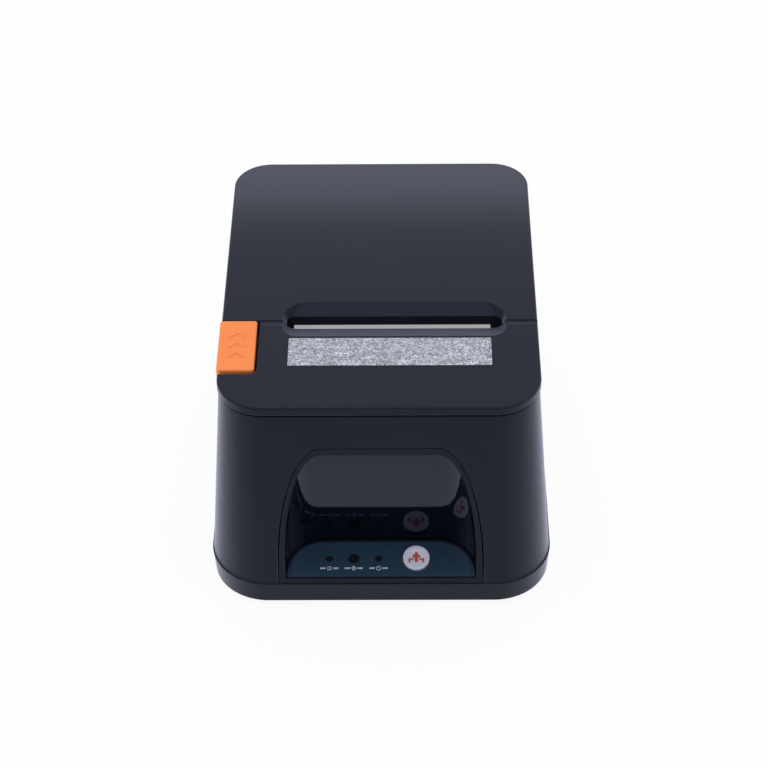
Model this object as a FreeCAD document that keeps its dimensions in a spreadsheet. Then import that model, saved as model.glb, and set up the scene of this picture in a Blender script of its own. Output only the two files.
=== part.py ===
import FreeCAD, Part
import math
import os
import re
import Sketcher
from FreeCAD import Placement, Rotation, Vector

# Receipt printer, all sizes in mm and degrees.
# +X is the right-hand side seen from the front, +Y points to the rear, +Z is up.
# The origin is on the floor below the middle of the base.

DIMENSIONS = {
    # housing
    "height": 115, "foot_height": 2, "foot_radius": 7.8, "foot_sunk": 1,
    "base_top": 14, "base_inset": 1, "base_corner": 26, "floor_thick": 2.5,
    "body_half": 76.5, "body_front": -91.5, "body_rear": 91.5, "body_step": 0.5,
    "top_half": 69, "top_front": -86.5, "top_rear": 88.5,
    "front_corner": 20, "rear_corner": 17, "rim_z": 109.5, "plate_bottom": 111,
    "wall": 2.4, "edge_round": 1, "screw_x": 58, "screw_front": -66, "screw_rear": 70,
    # top cover split, paper slot and hinge
    "seam": -29, "seam_gap": 0.3, "rebate": 2.4, "rebate_depth": 0.35, "mech_x": 5.5,
    "dish_left": -42.4, "dish_right": 55.3, "dish_front": -39.7, "dish_rear": -16.2, "dish_corner": 11,
    "slot_left": -40.8, "slot_right": 53.7, "slot_front": -31, "slot_rear": -21.7, "slot_z": 111.2,
    "tear_left": -37.5, "tear_right": 48.5, "tear_depth": 11, "tear_pitch": 1, "tear_tooth": 0.5,
    "hinge_y": 84.3, "hinge_z": 110, "barrel": 4, "hinge_way": 6.6, "hinge_clear": 0.5, "hinge_pin": 1.5,
    "knuckle_in": 38, "knuckle_out": 46, "knuckle_gap": 0.4, "knuckle_radius": 3,
    # front scoop: a rounded prism that leans towards the front
    "scoop_half": 42.2, "scoop_corner": 17, "scoop_top": 88.6, "scoop_ratio": 0.2723,
    "ledge_z": 17.2, "ledge_rise": 5.5, "ledge_run": 18.23, "scoop_wall": 2, "scoop_rim": 0.5,
    "arch_flat": 25.2, "arch_round": 20.7, "arch_top": 92.5, "arch_tall": 76, "arch_gap": 0.6,
    # controls on the ledge, measured from its front edge
    "row_s": 9.6, "button_x": 15.8, "button_radius": 5.9, "button_proud": 1.6, "film": 0.35,
    "lamp_left": -23, "lamp_mid": -12.1, "lamp_right": -1, "lamp_small": 1.5, "lamp_big": 2.4,
    # release button and latch
    "key_left": -69.6, "key_right": -53.3, "key_front": -62.6, "key_rear": -29.4,
    "key_top": 115.7, "key_skirt": 106, "key_notch": 102.6, "key_gap": 1.1, "key_gap_front": 1.9,
    "latch_y": -34, "latch_z": 80, "latch_radius": 2,
    # print mechanism
    "frame_half": 47, "frame_sheet": 1.2, "platen_y": -17.5, "platen_z": 88, "platen_radius": 7,
    "shaft_radius": 2.5, "bush_radius": 4, "paper_half": 40, "gear_module": 0.6,
    "head_tilt": 11.6, "head_pin_y": -4.5, "head_pin_z": -8, "head_pin": 1.5,
    "feed_angle": 52, "feed_radius": 10, "idler_pin": 1.5, "run_fit": 0.05,
    "blade_z": 103, "blade_sheet": 1, "blade_front": -60, "blade_edge": -31.5, "blade_vee": 4.5,
    "cutter_y": -44, "cutter_z": 97, "cutter_shaft": 1.5, "cutter_angle": 50, "cutter_radius": 6,
    # paper hopper and electronics
    "roll_y": 32, "roll_z": 60, "hopper_radius": 43, "hopper_half": 44, "hopper_wall": 2, "hopper_top": 80,
    "deck_z": 48, "deck_front": -62, "board_z": 10, "board_thick": 1.6, "panel_y": 84.5, "panel_sheet": 1,
    "rocker_pin": 0.9,
}
GEAR_TEETH = {"platen": 24, "idler_small": 16, "idler_big": 36, "pinion": 12, "cutter": 24}
PRESSURE_ANGLE = math.radians(25)

doc = FreeCAD.newDocument("receipt_printer")
sheet = doc.addObject("Spreadsheet::Sheet", "dims")
for row, (alias, number) in enumerate(DIMENSIONS.items(), start=1):
    sheet.set(f"A{row}", alias)
    sheet.set(f"B{row}", str(number))
    sheet.setAlias(f"B{row}", alias)
doc.recompute()
nodes = []


def val(expression):
    """Number that an expression of sheet words has now."""
    return float(sheet.evalExpression(str(expression)))


def bind(obj, prop, expression):
    """Drive one property of an object from the sheet."""
    def full(match):
        word = match.group(0)
        return f"dims.{word}" if word in DIMENSIONS else word
    obj.setExpression(prop, re.sub(r"[A-Za-z_]+", full, str(expression)))


def node(obj, label):
    """Mark an object as a finished piece of the printer."""
    obj.Label = label
    nodes.append(obj)
    return obj


def box(name, x, y, z):
    """Block between pairs of expressions on each axis."""
    obj = doc.addObject("Part::Box", name)
    for prop, axis, (low, high) in (("Length", "x", x), ("Width", "y", y), ("Height", "z", z)):
        bind(obj, prop, f"({high}) - ({low})")
        bind(obj, f"Placement.Base.{axis}", low)
    return obj


AXIS_TURN = {
    "x": Rotation(Vector(0, 1, 0), 90),
    "y": Rotation(Vector(1, 0, 0), -90),
    "z": Rotation(),
}


def rod(name, axis, radius, span, centre):
    """Round bar along an axis; centre holds the other two coordinates in x, y, z order."""
    obj = doc.addObject("Part::Cylinder", name)
    obj.Placement = Placement(Vector(), AXIS_TURN[axis])
    bind(obj, "Radius", radius)
    bind(obj, "Height", f"({span[1]}) - ({span[0]})")
    others = [word for word in "xyz" if word != axis]
    bind(obj, f"Placement.Base.{axis}", span[0])
    for word, expression in zip(others, centre):
        bind(obj, f"Placement.Base.{word}", expression)
    return obj


def fuse(name, parts):
    obj = doc.addObject("Part::MultiFuse", name)
    obj.Shapes = list(parts)
    obj.Refine = True
    return obj


def common(name, parts):
    obj = doc.addObject("Part::MultiCommon", name)
    obj.Shapes = list(parts)
    return obj


def cut(name, base, *tools):
    obj = doc.addObject("Part::Cut", name)
    obj.Base = base
    obj.Tool = tools[0] if len(tools) == 1 else fuse(f"{name}_tools", tools)
    obj.Refine = True
    return obj


def group(name, parts):
    obj = doc.addObject("Part::Compound", name)
    obj.Links = list(parts)
    return obj


def feature(name, shape):
    """Shape made by Part's own functions from sheet values."""
    obj = doc.addObject("Part::Feature", name)
    obj.Shape = shape
    return obj


def fix(sketch, geo, end, axis, expression):
    """Place one end point of a sketch line on one axis by a named, driven distance."""
    number = val(expression)
    if abs(number) < 1e-9:
        sketch.addConstraint(Sketcher.Constraint("PointOnObject", geo, end, -2 if axis == "X" else -1))
        return
    points = (-1, 1, geo, end) if number > 0 else (geo, end, -1, 1)
    index = sketch.addConstraint(Sketcher.Constraint(f"Distance{axis}", *points, abs(number)))
    word = f"d{axis}{geo}_{end}"
    sketch.renameConstraint(index, word)
    bind(sketch, f"Constraints.{word}", expression if number > 0 else f"-({expression})")


def polygon(sketch, points):
    """Closed outline of straight lines through driven points."""
    spots = [Vector(val(a), val(b), 0) for a, b in points]
    count = len(spots)
    sketch.addGeometry([Part.LineSegment(spots[i], spots[(i + 1) % count]) for i in range(count)], False)
    for i in range(count):
        sketch.addConstraint(Sketcher.Constraint("Coincident", i, 2, (i + 1) % count, 1))
    for i, (a, b) in enumerate(points):
        fix(sketch, i, 1, "X", a)
        fix(sketch, i, 1, "Y", b)


def rounded(sketch, x, y, front, rear):
    """Rectangle with driven sides and its own corner radius in front and at the rear."""
    x0, x1, y0, y1, rf, rr = (val(word) for word in (*x, *y, front, rear))
    corners = [(x1 - rf, y0 + rf, rf, -90), (x1 - rr, y1 - rr, rr, 0),
               (x0 + rr, y1 - rr, rr, 90), (x0 + rf, y0 + rf, rf, 180)]
    lines = [((x0 + rf, y0), (x1 - rf, y0)), ((x1, y0 + rf), (x1, y1 - rr)),
             ((x1 - rr, y1), (x0 + rr, y1)), ((x0, y1 - rr), (x0, y0 + rf))]
    shapes = []
    for (start, end), (cx, cy, radius, turn) in zip(lines, corners):
        circle = Part.Circle(Vector(cx, cy, 0), Vector(0, 0, 1), radius)
        shapes.append(Part.LineSegment(Vector(*start, 0), Vector(*end, 0)))
        shapes.append(Part.ArcOfCircle(circle, math.radians(turn), math.radians(turn + 90)))
    sketch.addGeometry(shapes, False)
    for i in range(8):
        sketch.addConstraint(Sketcher.Constraint("Tangent", i, 2, (i + 1) % 8, 1))
    for i, kind in ((0, "Horizontal"), (2, "Vertical"), (4, "Horizontal"), (6, "Vertical")):
        sketch.addConstraint(Sketcher.Constraint(kind, i))
    for i, radius in ((1, front), (3, rear), (5, rear), (7, front)):
        index = sketch.addConstraint(Sketcher.Constraint("Radius", i, val(radius)))
        sketch.renameConstraint(index, f"r{i}")
        bind(sketch, f"Constraints.r{i}", radius)
    fix(sketch, 0, 1, "Y", y[0])
    fix(sketch, 2, 1, "X", x[1])
    fix(sketch, 4, 1, "Y", y[1])
    fix(sketch, 6, 1, "X", x[0])


def body_sketch(body, name, role, offset):
    """Sketch on one origin plane of a body, moved along the plane's normal."""
    plane = next(part for part in body.Origin.OriginFeatures if part.Role == role)
    sketch = body.newObject("Sketcher::SketchObject", name)
    sketch.AttachmentSupport = (plane, [""])
    sketch.MapMode = "FlatFace"
    bind(sketch, "AttachmentOffset.Base.z", offset)
    return sketch


def rounded_loft(name, *levels):
    """Body lofted straight through rounded rectangles, each (z, x, y, front radius, rear radius)."""
    body = doc.addObject("PartDesign::Body", name)
    sections = []
    for index, (z, x, y, front, rear) in enumerate(levels):
        sketch = body_sketch(body, f"{name}_level_{index}", "XY_Plane", z)
        rounded(sketch, x, y, front, rear)
        sections.append(sketch)
    loft = body.newObject("PartDesign::AdditiveLoft", f"{name}_loft")
    loft.Profile = sections[0]
    loft.Sections = sections[1:]
    loft.Ruled = True
    body.Tip = loft
    return body


def rounded_pad(name, z, x, y, front, rear):
    """Body padded upwards from a rounded rectangle."""
    body = doc.addObject("PartDesign::Body", name)
    sketch = body_sketch(body, f"{name}_outline", "XY_Plane", z[0])
    rounded(sketch, x, y, front, rear)
    pad = body.newObject("PartDesign::Pad", f"{name}_pad")
    pad.Profile = sketch
    bind(pad, "Length", f"({z[1]}) - ({z[0]})")
    body.Tip = pad
    return body


def round_edges(body, name, radius, wanted):
    """Fillet the edges of a body's last feature whose centre passes a test."""
    doc.recompute()
    base = body.Tip
    names = [f"Edge{i}" for i, edge in enumerate(base.Shape.Edges, start=1) if wanted(edge)]
    fillet = body.newObject("PartDesign::Fillet", name)
    fillet.Base = (base, names)
    bind(fillet, "Radius", radius)
    body.Tip = fillet


PROFILE_TURN = {
    "x": Rotation(Vector(1, 1, 1), 120),
    "y": Rotation(Vector(1, 0, 0), 90),
    "z": Rotation(),
}


def profile(name, axis, span, points):
    """Straight-sided outline extruded along an axis. Points are (y, z), (x, z) or (x, y)."""
    sketch = doc.addObject("Sketcher::SketchObject", f"{name}_outline")
    sketch.Placement = Placement(Vector(), PROFILE_TURN[axis])
    polygon(sketch, points)
    start = span[1] if axis == "y" else span[0]
    bind(sketch, f"Placement.Base.{axis}", start)
    obj = doc.addObject("Part::Extrusion", name)
    obj.Base = sketch
    obj.DirMode = "Normal"
    obj.Solid = True
    bind(obj, "LengthFwd", f"({span[1]}) - ({span[0]})")
    return obj


def tilt(obj, x, y, z, angle):
    """Move a piece made about the origin to its place, turned about the X axis."""
    obj.Placement = Placement(Vector(), Rotation(Vector(1, 0, 0), val(angle)))
    for word, expression in (("x", x), ("y", y), ("z", z)):
        bind(obj, f"Placement.Base.{word}", expression)
    return obj


def gear_face(teeth, phase):
    """Outline of a spur gear in the YZ plane about the origin, with a tooth centred on the phase angle."""
    module = val("gear_module")
    pitch = module * teeth / 2
    base = pitch * math.cos(PRESSURE_ANGLE)
    tip = pitch + 0.9 * module
    root = pitch - 1.2 * module
    half = math.pi / (2 * teeth) - 0.05 / pitch

    def involute(radius):
        angle = math.acos(min(1, base / radius))
        return math.tan(angle) - angle

    flank = [(root, half + involute(pitch))]
    for radius in (max(base, root + 0.02), pitch, tip):
        flank.append((radius, half + involute(pitch) - involute(radius)))
    corners = []
    for index in range(teeth):
        centre = phase + index * 2 * math.pi / teeth
        for radius, angle in [(r, -a) for r, a in flank] + [(r, a) for r, a in reversed(flank)]:
            turn = centre + angle
            corners.append(Vector(0, radius * math.cos(turn), radius * math.sin(turn)))
    return Part.Face(Part.makePolygon(corners + corners[:1]))


def gear(name, teeth, phase, x, y, z, bore):
    """Spur gear on the X axis between two x values."""
    start, end = val(x[0]), val(x[1])
    shape = gear_face(teeth, phase).extrude(Vector(end - start, 0, 0))
    if bore:
        shape = shape.cut(Part.makeCylinder(bore, end - start, Vector(), Vector(1, 0, 0)))
    obj = feature(name, shape)
    obj.Placement = Placement(Vector(start, y, z), Rotation())
    return obj


# the housing

def build_base():
    inner = "body_half - base_inset - wall"
    levels = []
    steps = (("foot_height", "base_inset + edge_round"), ("foot_height + edge_round", "base_inset - 0.2"),
             ("base_top", 0))
    for z, inset in steps:
        levels.append((z, (f"{inset} - body_half", f"body_half - ({inset})"),
                       (f"body_front + {inset}", f"body_rear - ({inset})"),
                       f"base_corner - ({inset})", f"base_corner - ({inset})"))
    tray = rounded_loft("base_form", *levels)
    hollow = rounded_pad(
        "base_hollow", ("foot_height + floor_thick", "base_top + 1"), (f"-({inner})", inner),
        ("body_front + base_inset + wall", "body_rear - base_inset - wall"),
        "base_corner - base_inset - wall", "base_corner - base_inset - wall")
    bosses = []
    holes = []
    screws = []
    feet = []
    for side, sign in (("left", "-"), ("right", "")):
        for end in ("front", "rear"):
            tag = f"{end}_{side}"
            spot = (f"{sign}screw_x", f"screw_{end}")
            bosses.append(rod(f"boss_{tag}", "z", 4.5, ("foot_height + 1", "base_top"), spot))
            holes.append(rod(f"screw_way_{tag}", "z", 1.7, ("foot_height", "base_top + 1"), spot))
            holes.append(rod(f"screw_sink_{tag}", "z", 3.2, ("foot_height - 1", "foot_height + 4"), spot))
            head = rod(f"screw_head_{tag}", "z", 2.8, ("foot_height + 2", "foot_height + 4"), spot)
            shank = rod(f"screw_shank_{tag}", "z", 1.25, ("foot_height + 3", "base_top + 10"), spot)
            recess = box(f"screw_cross_{tag}", (f"{spot[0]} - 1.4", f"{spot[0]} + 1.4"),
                         (f"{spot[1]} - 0.4", f"{spot[1]} + 0.4"), ("foot_height + 1", "foot_height + 3"))
            screws.append(cut(f"screw_{tag}", fuse(f"screw_form_{tag}", [head, shank]), recess))
            place = (f"{sign}screw_x", f"screw_{end} {'+' if end == 'front' else '-'} 17")
            holes.append(rod(f"foot_seat_{tag}", "z", "foot_radius + 0.2",
                             ("foot_height - 1", "foot_height + foot_sunk"), place))
            feet.append(rod(f"foot_{tag}", "z", "foot_radius", (0, "foot_height + foot_sunk"), place))
    for x in ("mech_x - 36.5", "mech_x + 36.5"):
        for y in (-35, 60):
            bosses.append(rod("board_post", "z", 3, ("foot_height + 1", "board_z"), (x, y)))
    shell = fuse("base_shell", [cut("base_tray", tray, hollow), *bosses])
    node(cut("base_cut", shell, *holes), "base_pan")
    node(group("base_screw_set", screws), "base_screws")
    node(group("foot_set", feet), "rubber_feet")


def arch_prism(name, flat, side, top, tall, bottom, y):
    """Arch with elliptical shoulders in the XZ plane, extruded along Y."""
    flat, side, top, tall, bottom = (val(word) for word in (flat, side, top, tall, bottom))
    half = flat + side
    front, rear = y
    spring = top - tall
    right = Part.Ellipse(Vector(flat, front, top), Vector(half, front, spring), Vector(flat, front, spring))
    left = Part.Ellipse(Vector(-flat, front, top), Vector(-half, front, spring), Vector(-flat, front, spring))

    def corner(ellipse, start, end):
        first, last = ellipse.parameter(start), ellipse.parameter(end)
        if last < first:
            first, last = last, first
        if last - first > math.pi:
            first, last = last, first + 2 * math.pi
        return ellipse.toShape(first, last)

    spots = [Vector(-half, front, spring), Vector(-half, front, bottom),
             Vector(half, front, bottom), Vector(half, front, spring)]
    edges = [Part.makeLine(a, b) for a, b in zip(spots, spots[1:])]
    edges.append(corner(right, spots[3], Vector(flat, front, top)))
    edges.append(Part.makeLine(Vector(flat, front, top), Vector(-flat, front, top)))
    edges.append(corner(left, Vector(-flat, front, top), spots[0]))
    wire = Part.Wire(Part.__sortEdges__(edges))
    return feature(name, Part.Face(wire).extrude(Vector(0, rear - front, 0)))


def front_slab(name, near, far):
    """Slab parallel to the leaning front face, between two depths behind it."""
    low = "base_top - 10"
    high = "rim_z + 5"
    face = "(body_front + body_step + ({z} - base_top) * (top_front - body_front) / (rim_z - base_top))"
    points = []
    for z, depth in ((low, near), (low, far), (high, far), (high, near)):
        points.append((f"{face.format(z=z)} + {depth}", z))
    return profile(name, "x", (-60, 60), points)


LEAN = "((top_front - body_front) / (rim_z - base_top))"


def scoop_prism(name, grow):
    """Rounded prism that follows the leaning back wall of the scoop."""
    sketch = doc.addObject("Sketcher::SketchObject", f"{name}_outline")
    wall_y = f"(body_front + body_step + scoop_ratio * (scoop_top - base_top) + {grow})"
    rounded(sketch, (f"-scoop_half - {grow}", f"scoop_half + {grow}"), ("body_front - 30", wall_y),
            1, f"scoop_corner + {grow}")
    bind(sketch, "Placement.Base.z", "base_top")
    obj = doc.addObject("Part::Extrusion", name)
    obj.Base = sketch
    obj.DirMode = "Custom"
    obj.Dir = Vector(0, val(f"{LEAN} - scoop_ratio"), 1)
    obj.Solid = True
    bind(obj, "LengthFwd", "rim_z - base_top - 8")
    return obj


def above_ledge(name, drop):
    """Everything above the sloping ledge plane, lowered by a drop."""
    edge = f"(body_front + body_step + (ledge_z - base_top) * {LEAN})"
    slope = "(ledge_rise / ledge_run)"
    return profile(name, "x", (-60, 60), [
        ("body_front - 30", f"ledge_z + (body_front - 30 - {edge}) * {slope} - {drop}"),
        (-60, f"ledge_z + (-60 - {edge}) * {slope} - {drop}"),
        (-60, 120), ("body_front - 30", 120)])


def place_on_ledge(obj):
    """Turn a piece made in ledge axes (x, along the ledge, normal) into its place."""
    edge = f"body_front + body_step + (ledge_z - base_top) * {LEAN}"
    return tilt(obj, 0, edge, "ledge_z", math.degrees(math.atan(val("ledge_rise / ledge_run"))))


def build_front():
    skin = "wall"
    bezel_slab = front_slab("bezel_slab", 0, skin)
    rim = arch_prism("rim_arch", "arch_flat", "scoop_corner + scoop_rim", "scoop_top + scoop_rim",
                     "scoop_corner / scoop_ratio + scoop_rim", "ledge_z - scoop_rim", (-130, -40))
    outer = arch_prism("bezel_arch", "arch_flat", "arch_round - arch_gap", "arch_top - arch_gap",
                       "arch_tall", "base_top", (-130, -40))
    node(cut("bezel_ring", common("bezel_plate", [outer, bezel_slab]), rim), "front_bezel")

    cavity = common("scoop_cavity", [scoop_prism("scoop_core", 0), above_ledge("ledge_above", 0)])
    behind = front_slab("scoop_behind", skin, 40)
    skin_form = scoop_prism("scoop_skin", "scoop_wall")
    tub = common("scoop_tub", [skin_form, above_ledge("ledge_below", "scoop_wall"), behind])
    lip_arch = arch_prism("lip_arch", "arch_flat", "scoop_corner + scoop_rim - 0.05",
                          "scoop_top + scoop_rim - 0.05", "scoop_corner / scoop_ratio + scoop_rim",
                          "ledge_z - scoop_rim + 0.05", (-130, -40))
    lip = common("scoop_lip", [lip_arch, front_slab("scoop_slab", 0, skin)])
    shell = cut("scoop_shell", fuse("scoop_form", [tub, lip]), cavity)
    lamps = (("lamp_left", "lamp_small"), ("lamp_mid", "lamp_big"), ("lamp_right", "lamp_small"))
    ways = [rod("key_way", "z", "button_radius + 0.4", (-6, 3), ("button_x", "row_s"))]
    film_ways = [rod("film_key_way", "z", "button_radius + 0.4", (-1, 3), ("button_x", "row_s"))]
    lenses = []
    for x, radius in lamps:
        ways.append(rod(f"{x}_way", "z", f"{radius} + 0.05", (-6, 3), (x, "row_s")))
        film_ways.append(rod(f"{x}_film_way", "z", f"{radius} + 0.05", (-1, 3), (x, "row_s")))
        stem = rod(f"{x}_stem", "z", radius, (-5.4, "film + 0.1"), (x, "row_s"))
        lenses.append(stem)
    node(cut("scoop_cut", shell, place_on_ledge(fuse("ledge_ways", ways))), "scoop_window")

    ledge_length = "ledge_run / cos(atan(ledge_rise / ledge_run))"
    film_body = rounded_pad("film_form", (0, "film"), ("0.4 - scoop_half", "scoop_half - 0.4"),
                            (-12, f"{ledge_length} - 0.9"), 1, "scoop_corner - 0.4")
    front_trim = box("film_front", (-60, 60), (0.8, 40), (-1, 2))
    node(place_on_ledge(cut("film_cut", common("film_plate", [film_body, front_trim]), *film_ways)),
         "control_overlay")
    node(place_on_ledge(group("lens_set", lenses)), "indicator_lenses")

    cap = rod("feed_cap", "z", "button_radius", (-3, "button_proud"), ("button_x", "row_s"))
    collar = rod("feed_collar", "z", "button_radius + 0.9", (-3, -2.2), ("button_x", "row_s"))
    stem = rod("feed_stem", "z", 2, (-4.6, -3), ("button_x", "row_s"))
    dish = doc.addObject("Part::Sphere", "feed_dish")
    bind(dish, "Radius", 24)
    for axis, expression in (("x", "button_x"), ("y", "row_s"), ("z", "button_proud + 23.5")):
        bind(dish, f"Placement.Base.{axis}", expression)
    node(place_on_ledge(cut("feed_key", fuse("feed_form", [cap, collar, stem]), dish)), "feed_button")

    board = box("panel_form", (-32, 28), (3.4, 15.4), (-8.2, -6.6))
    tact = box("panel_tact", ("button_x - 3", "button_x + 3"), ("row_s - 3", "row_s + 3"), (-6.6, -5.4))
    plug = box("panel_plug", (-31, -27), (5, 13), (-11, -8.2))
    node(place_on_ledge(fuse("panel_set", [board, tact, plug])), "panel_board")


def build_shell():
    outer = rounded_loft(
        "shell_outer",
        ("base_top", ("body_step - body_half", "body_half - body_step"),
         ("body_front + body_step", "body_rear - body_step"), "base_corner", "base_corner"),
        ("rim_z", ("body_step - top_half", "top_half - body_step"),
         ("top_front + body_step", "top_rear - body_step"), "front_corner", "rear_corner + 1"))
    inner = rounded_loft(
        "shell_inner",
        ("base_top", ("body_step + wall - body_half", "body_half - body_step - wall"),
         ("body_front + body_step + wall", "body_rear - body_step - wall"),
         "base_corner - wall", "base_corner - wall"),
        ("rim_z", ("body_step + wall - top_half", "top_half - body_step - wall"),
         ("top_front + body_step + wall", "top_rear - body_step - wall"),
         "front_corner - wall", "rear_corner + 1 - wall"))
    wall_ring = cut("shell_ring", outer, inner)

    arch = arch_prism("arch_way", "arch_flat", "arch_round", "arch_top", "arch_tall", "base_top - 2",
                      (-130, -60))
    key_way = box("key_way_side", (-80, -50), ("key_front - 0.4", "key_rear + 0.4"), ("key_notch", 120))
    barrel_way = rod("barrel_way", "x", "hinge_way", (-90, 90), ("hinge_y", "hinge_z"))
    socket_way = box("socket_way", ("mech_x - 43.5", "mech_x + 43.5"), (80, 100), ("base_top - 1", 34))
    opened = cut("shell_open", wall_ring, arch, key_way, barrel_way, socket_way)

    ring = cut("trough_ring", rod("trough_outer", "x", "hinge_way + 1.6", (-90, 90), ("hinge_y", "hinge_z")),
               rod("trough_inner", "x", "hinge_way", (-91, 91), ("hinge_y", "hinge_z")))
    plan = rounded_pad("trough_plan", ("hinge_z - hinge_way - 2", "hinge_z - 4"),
                       ("2 - top_half", "top_half - 2"), ("top_front + 2", "top_rear - 2"),
                       "front_corner - 2", "rear_corner - 1")
    extras = [common("hinge_trough", [ring, plan])]
    holes = []
    for side, sign in (("left", "-"), ("right", "")):
        for end in ("front", "rear"):
            tag = f"{end}_{side}"
            spot = (f"{sign}screw_x", f"screw_{end}")
            extras.append(rod(f"post_{tag}", "z", 4.5, ("base_top", "base_top + 18"), spot))
            reach = ("screw_x + 3", "body_half - 3") if not sign else ("3 - body_half", "-screw_x - 3")
            extras.append(box(f"post_rib_{tag}", reach, (f"screw_{end} - 1", f"screw_{end} + 1"),
                              ("base_top", "base_top + 18")))
            holes.append(rod(f"pilot_{tag}", "z", 1.25, ("base_top - 1", "base_top + 12"), spot))
        x = (("knuckle_in + knuckle_gap", "knuckle_out - knuckle_gap") if not sign
             else ("knuckle_gap - knuckle_out", "-knuckle_in - knuckle_gap"))
        extras.append(rod(f"knuckle_{side}", "x", "knuckle_radius", x, ("hinge_y", "hinge_z")))
        extras.append(box(f"knuckle_stem_{side}", x, ("hinge_y - knuckle_radius", "hinge_y - 0.4"),
                          (92, "hinge_z")))
        extras.append(box(f"knuckle_root_{side}", x, ("hinge_y - knuckle_radius", "top_rear - 1.5"),
                          (92, 98)))
        holes.append(rod(f"knuckle_bore_{side}", "x", "hinge_pin + run_fit", x, ("hinge_y", "hinge_z")))
    extras.append(box("spring_shelf", ("0.2 - top_half", -60.5), (-63, -57), (89.5, 92)))
    node(cut("shell_cut", fuse("shell_form", [opened, *extras]), *holes), "body_shell")


def dish_tool(name):
    """Shallow dish with sloping sides around the paper slot."""
    return rounded_loft(
        name,
        ("slot_z", ("slot_left", "slot_right"), ("slot_front + 2.3", "slot_rear"), 3, 3),
        ("height", ("dish_left", "dish_right"), ("dish_front", "dish_rear"),
         "dish_corner - 4", "dish_corner"))


def mouth_tool(name):
    """Upright slot with rounded ends through which the paper leaves."""
    return rounded_pad(name, (100, 120), ("slot_left", "slot_right"), ("slot_front", "slot_rear"), 4, 3)


def top_plate(name):
    """Rounded top plate before it is split into front cover and lid."""
    plate = rounded_pad(name, ("plate_bottom", "height"), ("-top_half", "top_half"),
                        ("top_front", "top_rear"), "front_corner", "rear_corner")
    round_edges(plate, f"{name}_edge", "edge_round",
                lambda edge: edge.BoundBox.ZMin > val("height") - 0.1)
    return plate


def seam_groove(name):
    """Small V along the seam that softens both plate edges."""
    return profile(name, "x", (-90, 90), [
        ("seam - seam_gap - 0.5", "height + 0.1"), ("seam", "height - 0.7"),
        ("seam + seam_gap + 0.5", "height + 0.1")])


def step_ring(name, bottom, y):
    """Band set back under the plate's rim, which leaves a shadow line above the body."""
    outer = rounded_pad(f"{name}_outer", (bottom, "plate_bottom"), ("1.6 - top_half", "top_half - 1.6"),
                        ("top_front + 1.6", "top_rear - 1.6"), "front_corner - 1.4", "rear_corner - 1.4")
    inner = rounded_pad(f"{name}_inner", ("rim_z - 1", "plate_bottom + 1"),
                        ("2.8 - top_half", "top_half - 2.8"), ("top_front + 2.8", "top_rear - 2.8"),
                        "front_corner - 2.6", "rear_corner - 2.6")
    part = box(f"{name}_part", (-90, 90), y, (100, 120))
    return common(name, [cut(f"{name}_ring", outer, inner), part])


def build_top():
    front_part = box("front_part", (-90, 90), (-100, "seam - seam_gap"), (100, 120))
    front = common("front_plate", [top_plate("plate_front"), front_part])
    step = step_ring("cover_step", "rim_z", (-100, "seam - seam_gap"))
    key_way = rounded_pad("key_way_top", (100, 120), (-80, "key_right + key_gap"),
                          ("key_front - key_gap_front", 0), 3.4, 1)
    rebate = box("cover_rebate", (-90, 90), ("seam - seam_gap - rebate", "seam"),
                 ("height - rebate_depth", "height + 1"))
    node(cut("cover_cut", fuse("cover_form", [front, step]), key_way, dish_tool("dish_front_tool"),
             mouth_tool("mouth_front"), seam_groove("groove_front"), rebate), "front_cover")

    lid_part = box("lid_part", (-90, 90), ("seam + seam_gap", "top_rear + 1"), (100, 120))
    flat = common("lid_flat", [top_plate("plate_rear"), lid_part])
    plan = rounded_pad("lid_plan", ("hinge_z - barrel - 1", "plate_bottom + 1"), ("-top_half", "top_half"),
                       ("top_front", "top_rear"), "front_corner", "rear_corner")
    roll = rod("barrel_form", "x", "barrel", (-80, 80), ("hinge_y", "hinge_z"))
    barrel = common("lid_barrel", [plan, roll])
    lip = box("lid_lip", ("slot_left", "slot_right"), ("slot_rear", "slot_rear + 3"),
              (104.6, "plate_bottom + 0.5"))
    stiffeners = [box(f"lid_rib_{i}", (x, f"{x} + 1.6"), ("slot_rear + 3", "hinge_y - 5"),
                      ("plate_bottom - 2", "plate_bottom + 0.5")) for i, x in enumerate((-60, 60))]
    step = step_ring("lid_step", "rim_z + 0.15", ("seam + seam_gap", 70))
    form = fuse("lid_form", [flat, step, barrel, lip, *stiffeners])
    tools = [dish_tool("dish_lid_tool"), seam_groove("groove_lid"), mouth_tool("mouth_lid")]
    pins = []
    for side, sign in (("left", -1), ("right", 1)):
        x = ("knuckle_in", "knuckle_out") if sign > 0 else ("-knuckle_out", "-knuckle_in")
        span = ("knuckle_in - 6", "knuckle_out + 8") if sign > 0 else ("-knuckle_out - 8", "6 - knuckle_in")
        tools.append(box(f"knuckle_slot_{side}", x, ("hinge_y - barrel - 1", "hinge_y + barrel + 1"),
                         ("hinge_z - barrel - 1", "plate_bottom")))
        tools.append(rod(f"knuckle_room_{side}", "x", "knuckle_radius + hinge_clear", x,
                         ("hinge_y", "hinge_z")))
        tools.append(rod(f"pin_bore_{side}", "x", "hinge_pin", span, ("hinge_y", "hinge_z")))
        pins.append(rod(f"hinge_pin_{side}", "x", "hinge_pin", span, ("hinge_y", "hinge_z")))
    node(cut("lid_cut", form, *tools), "paper_lid")
    node(group("hinge_pin_set", pins), "hinge_pins")

    node(tear_bar(), "tear_bar")


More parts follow.
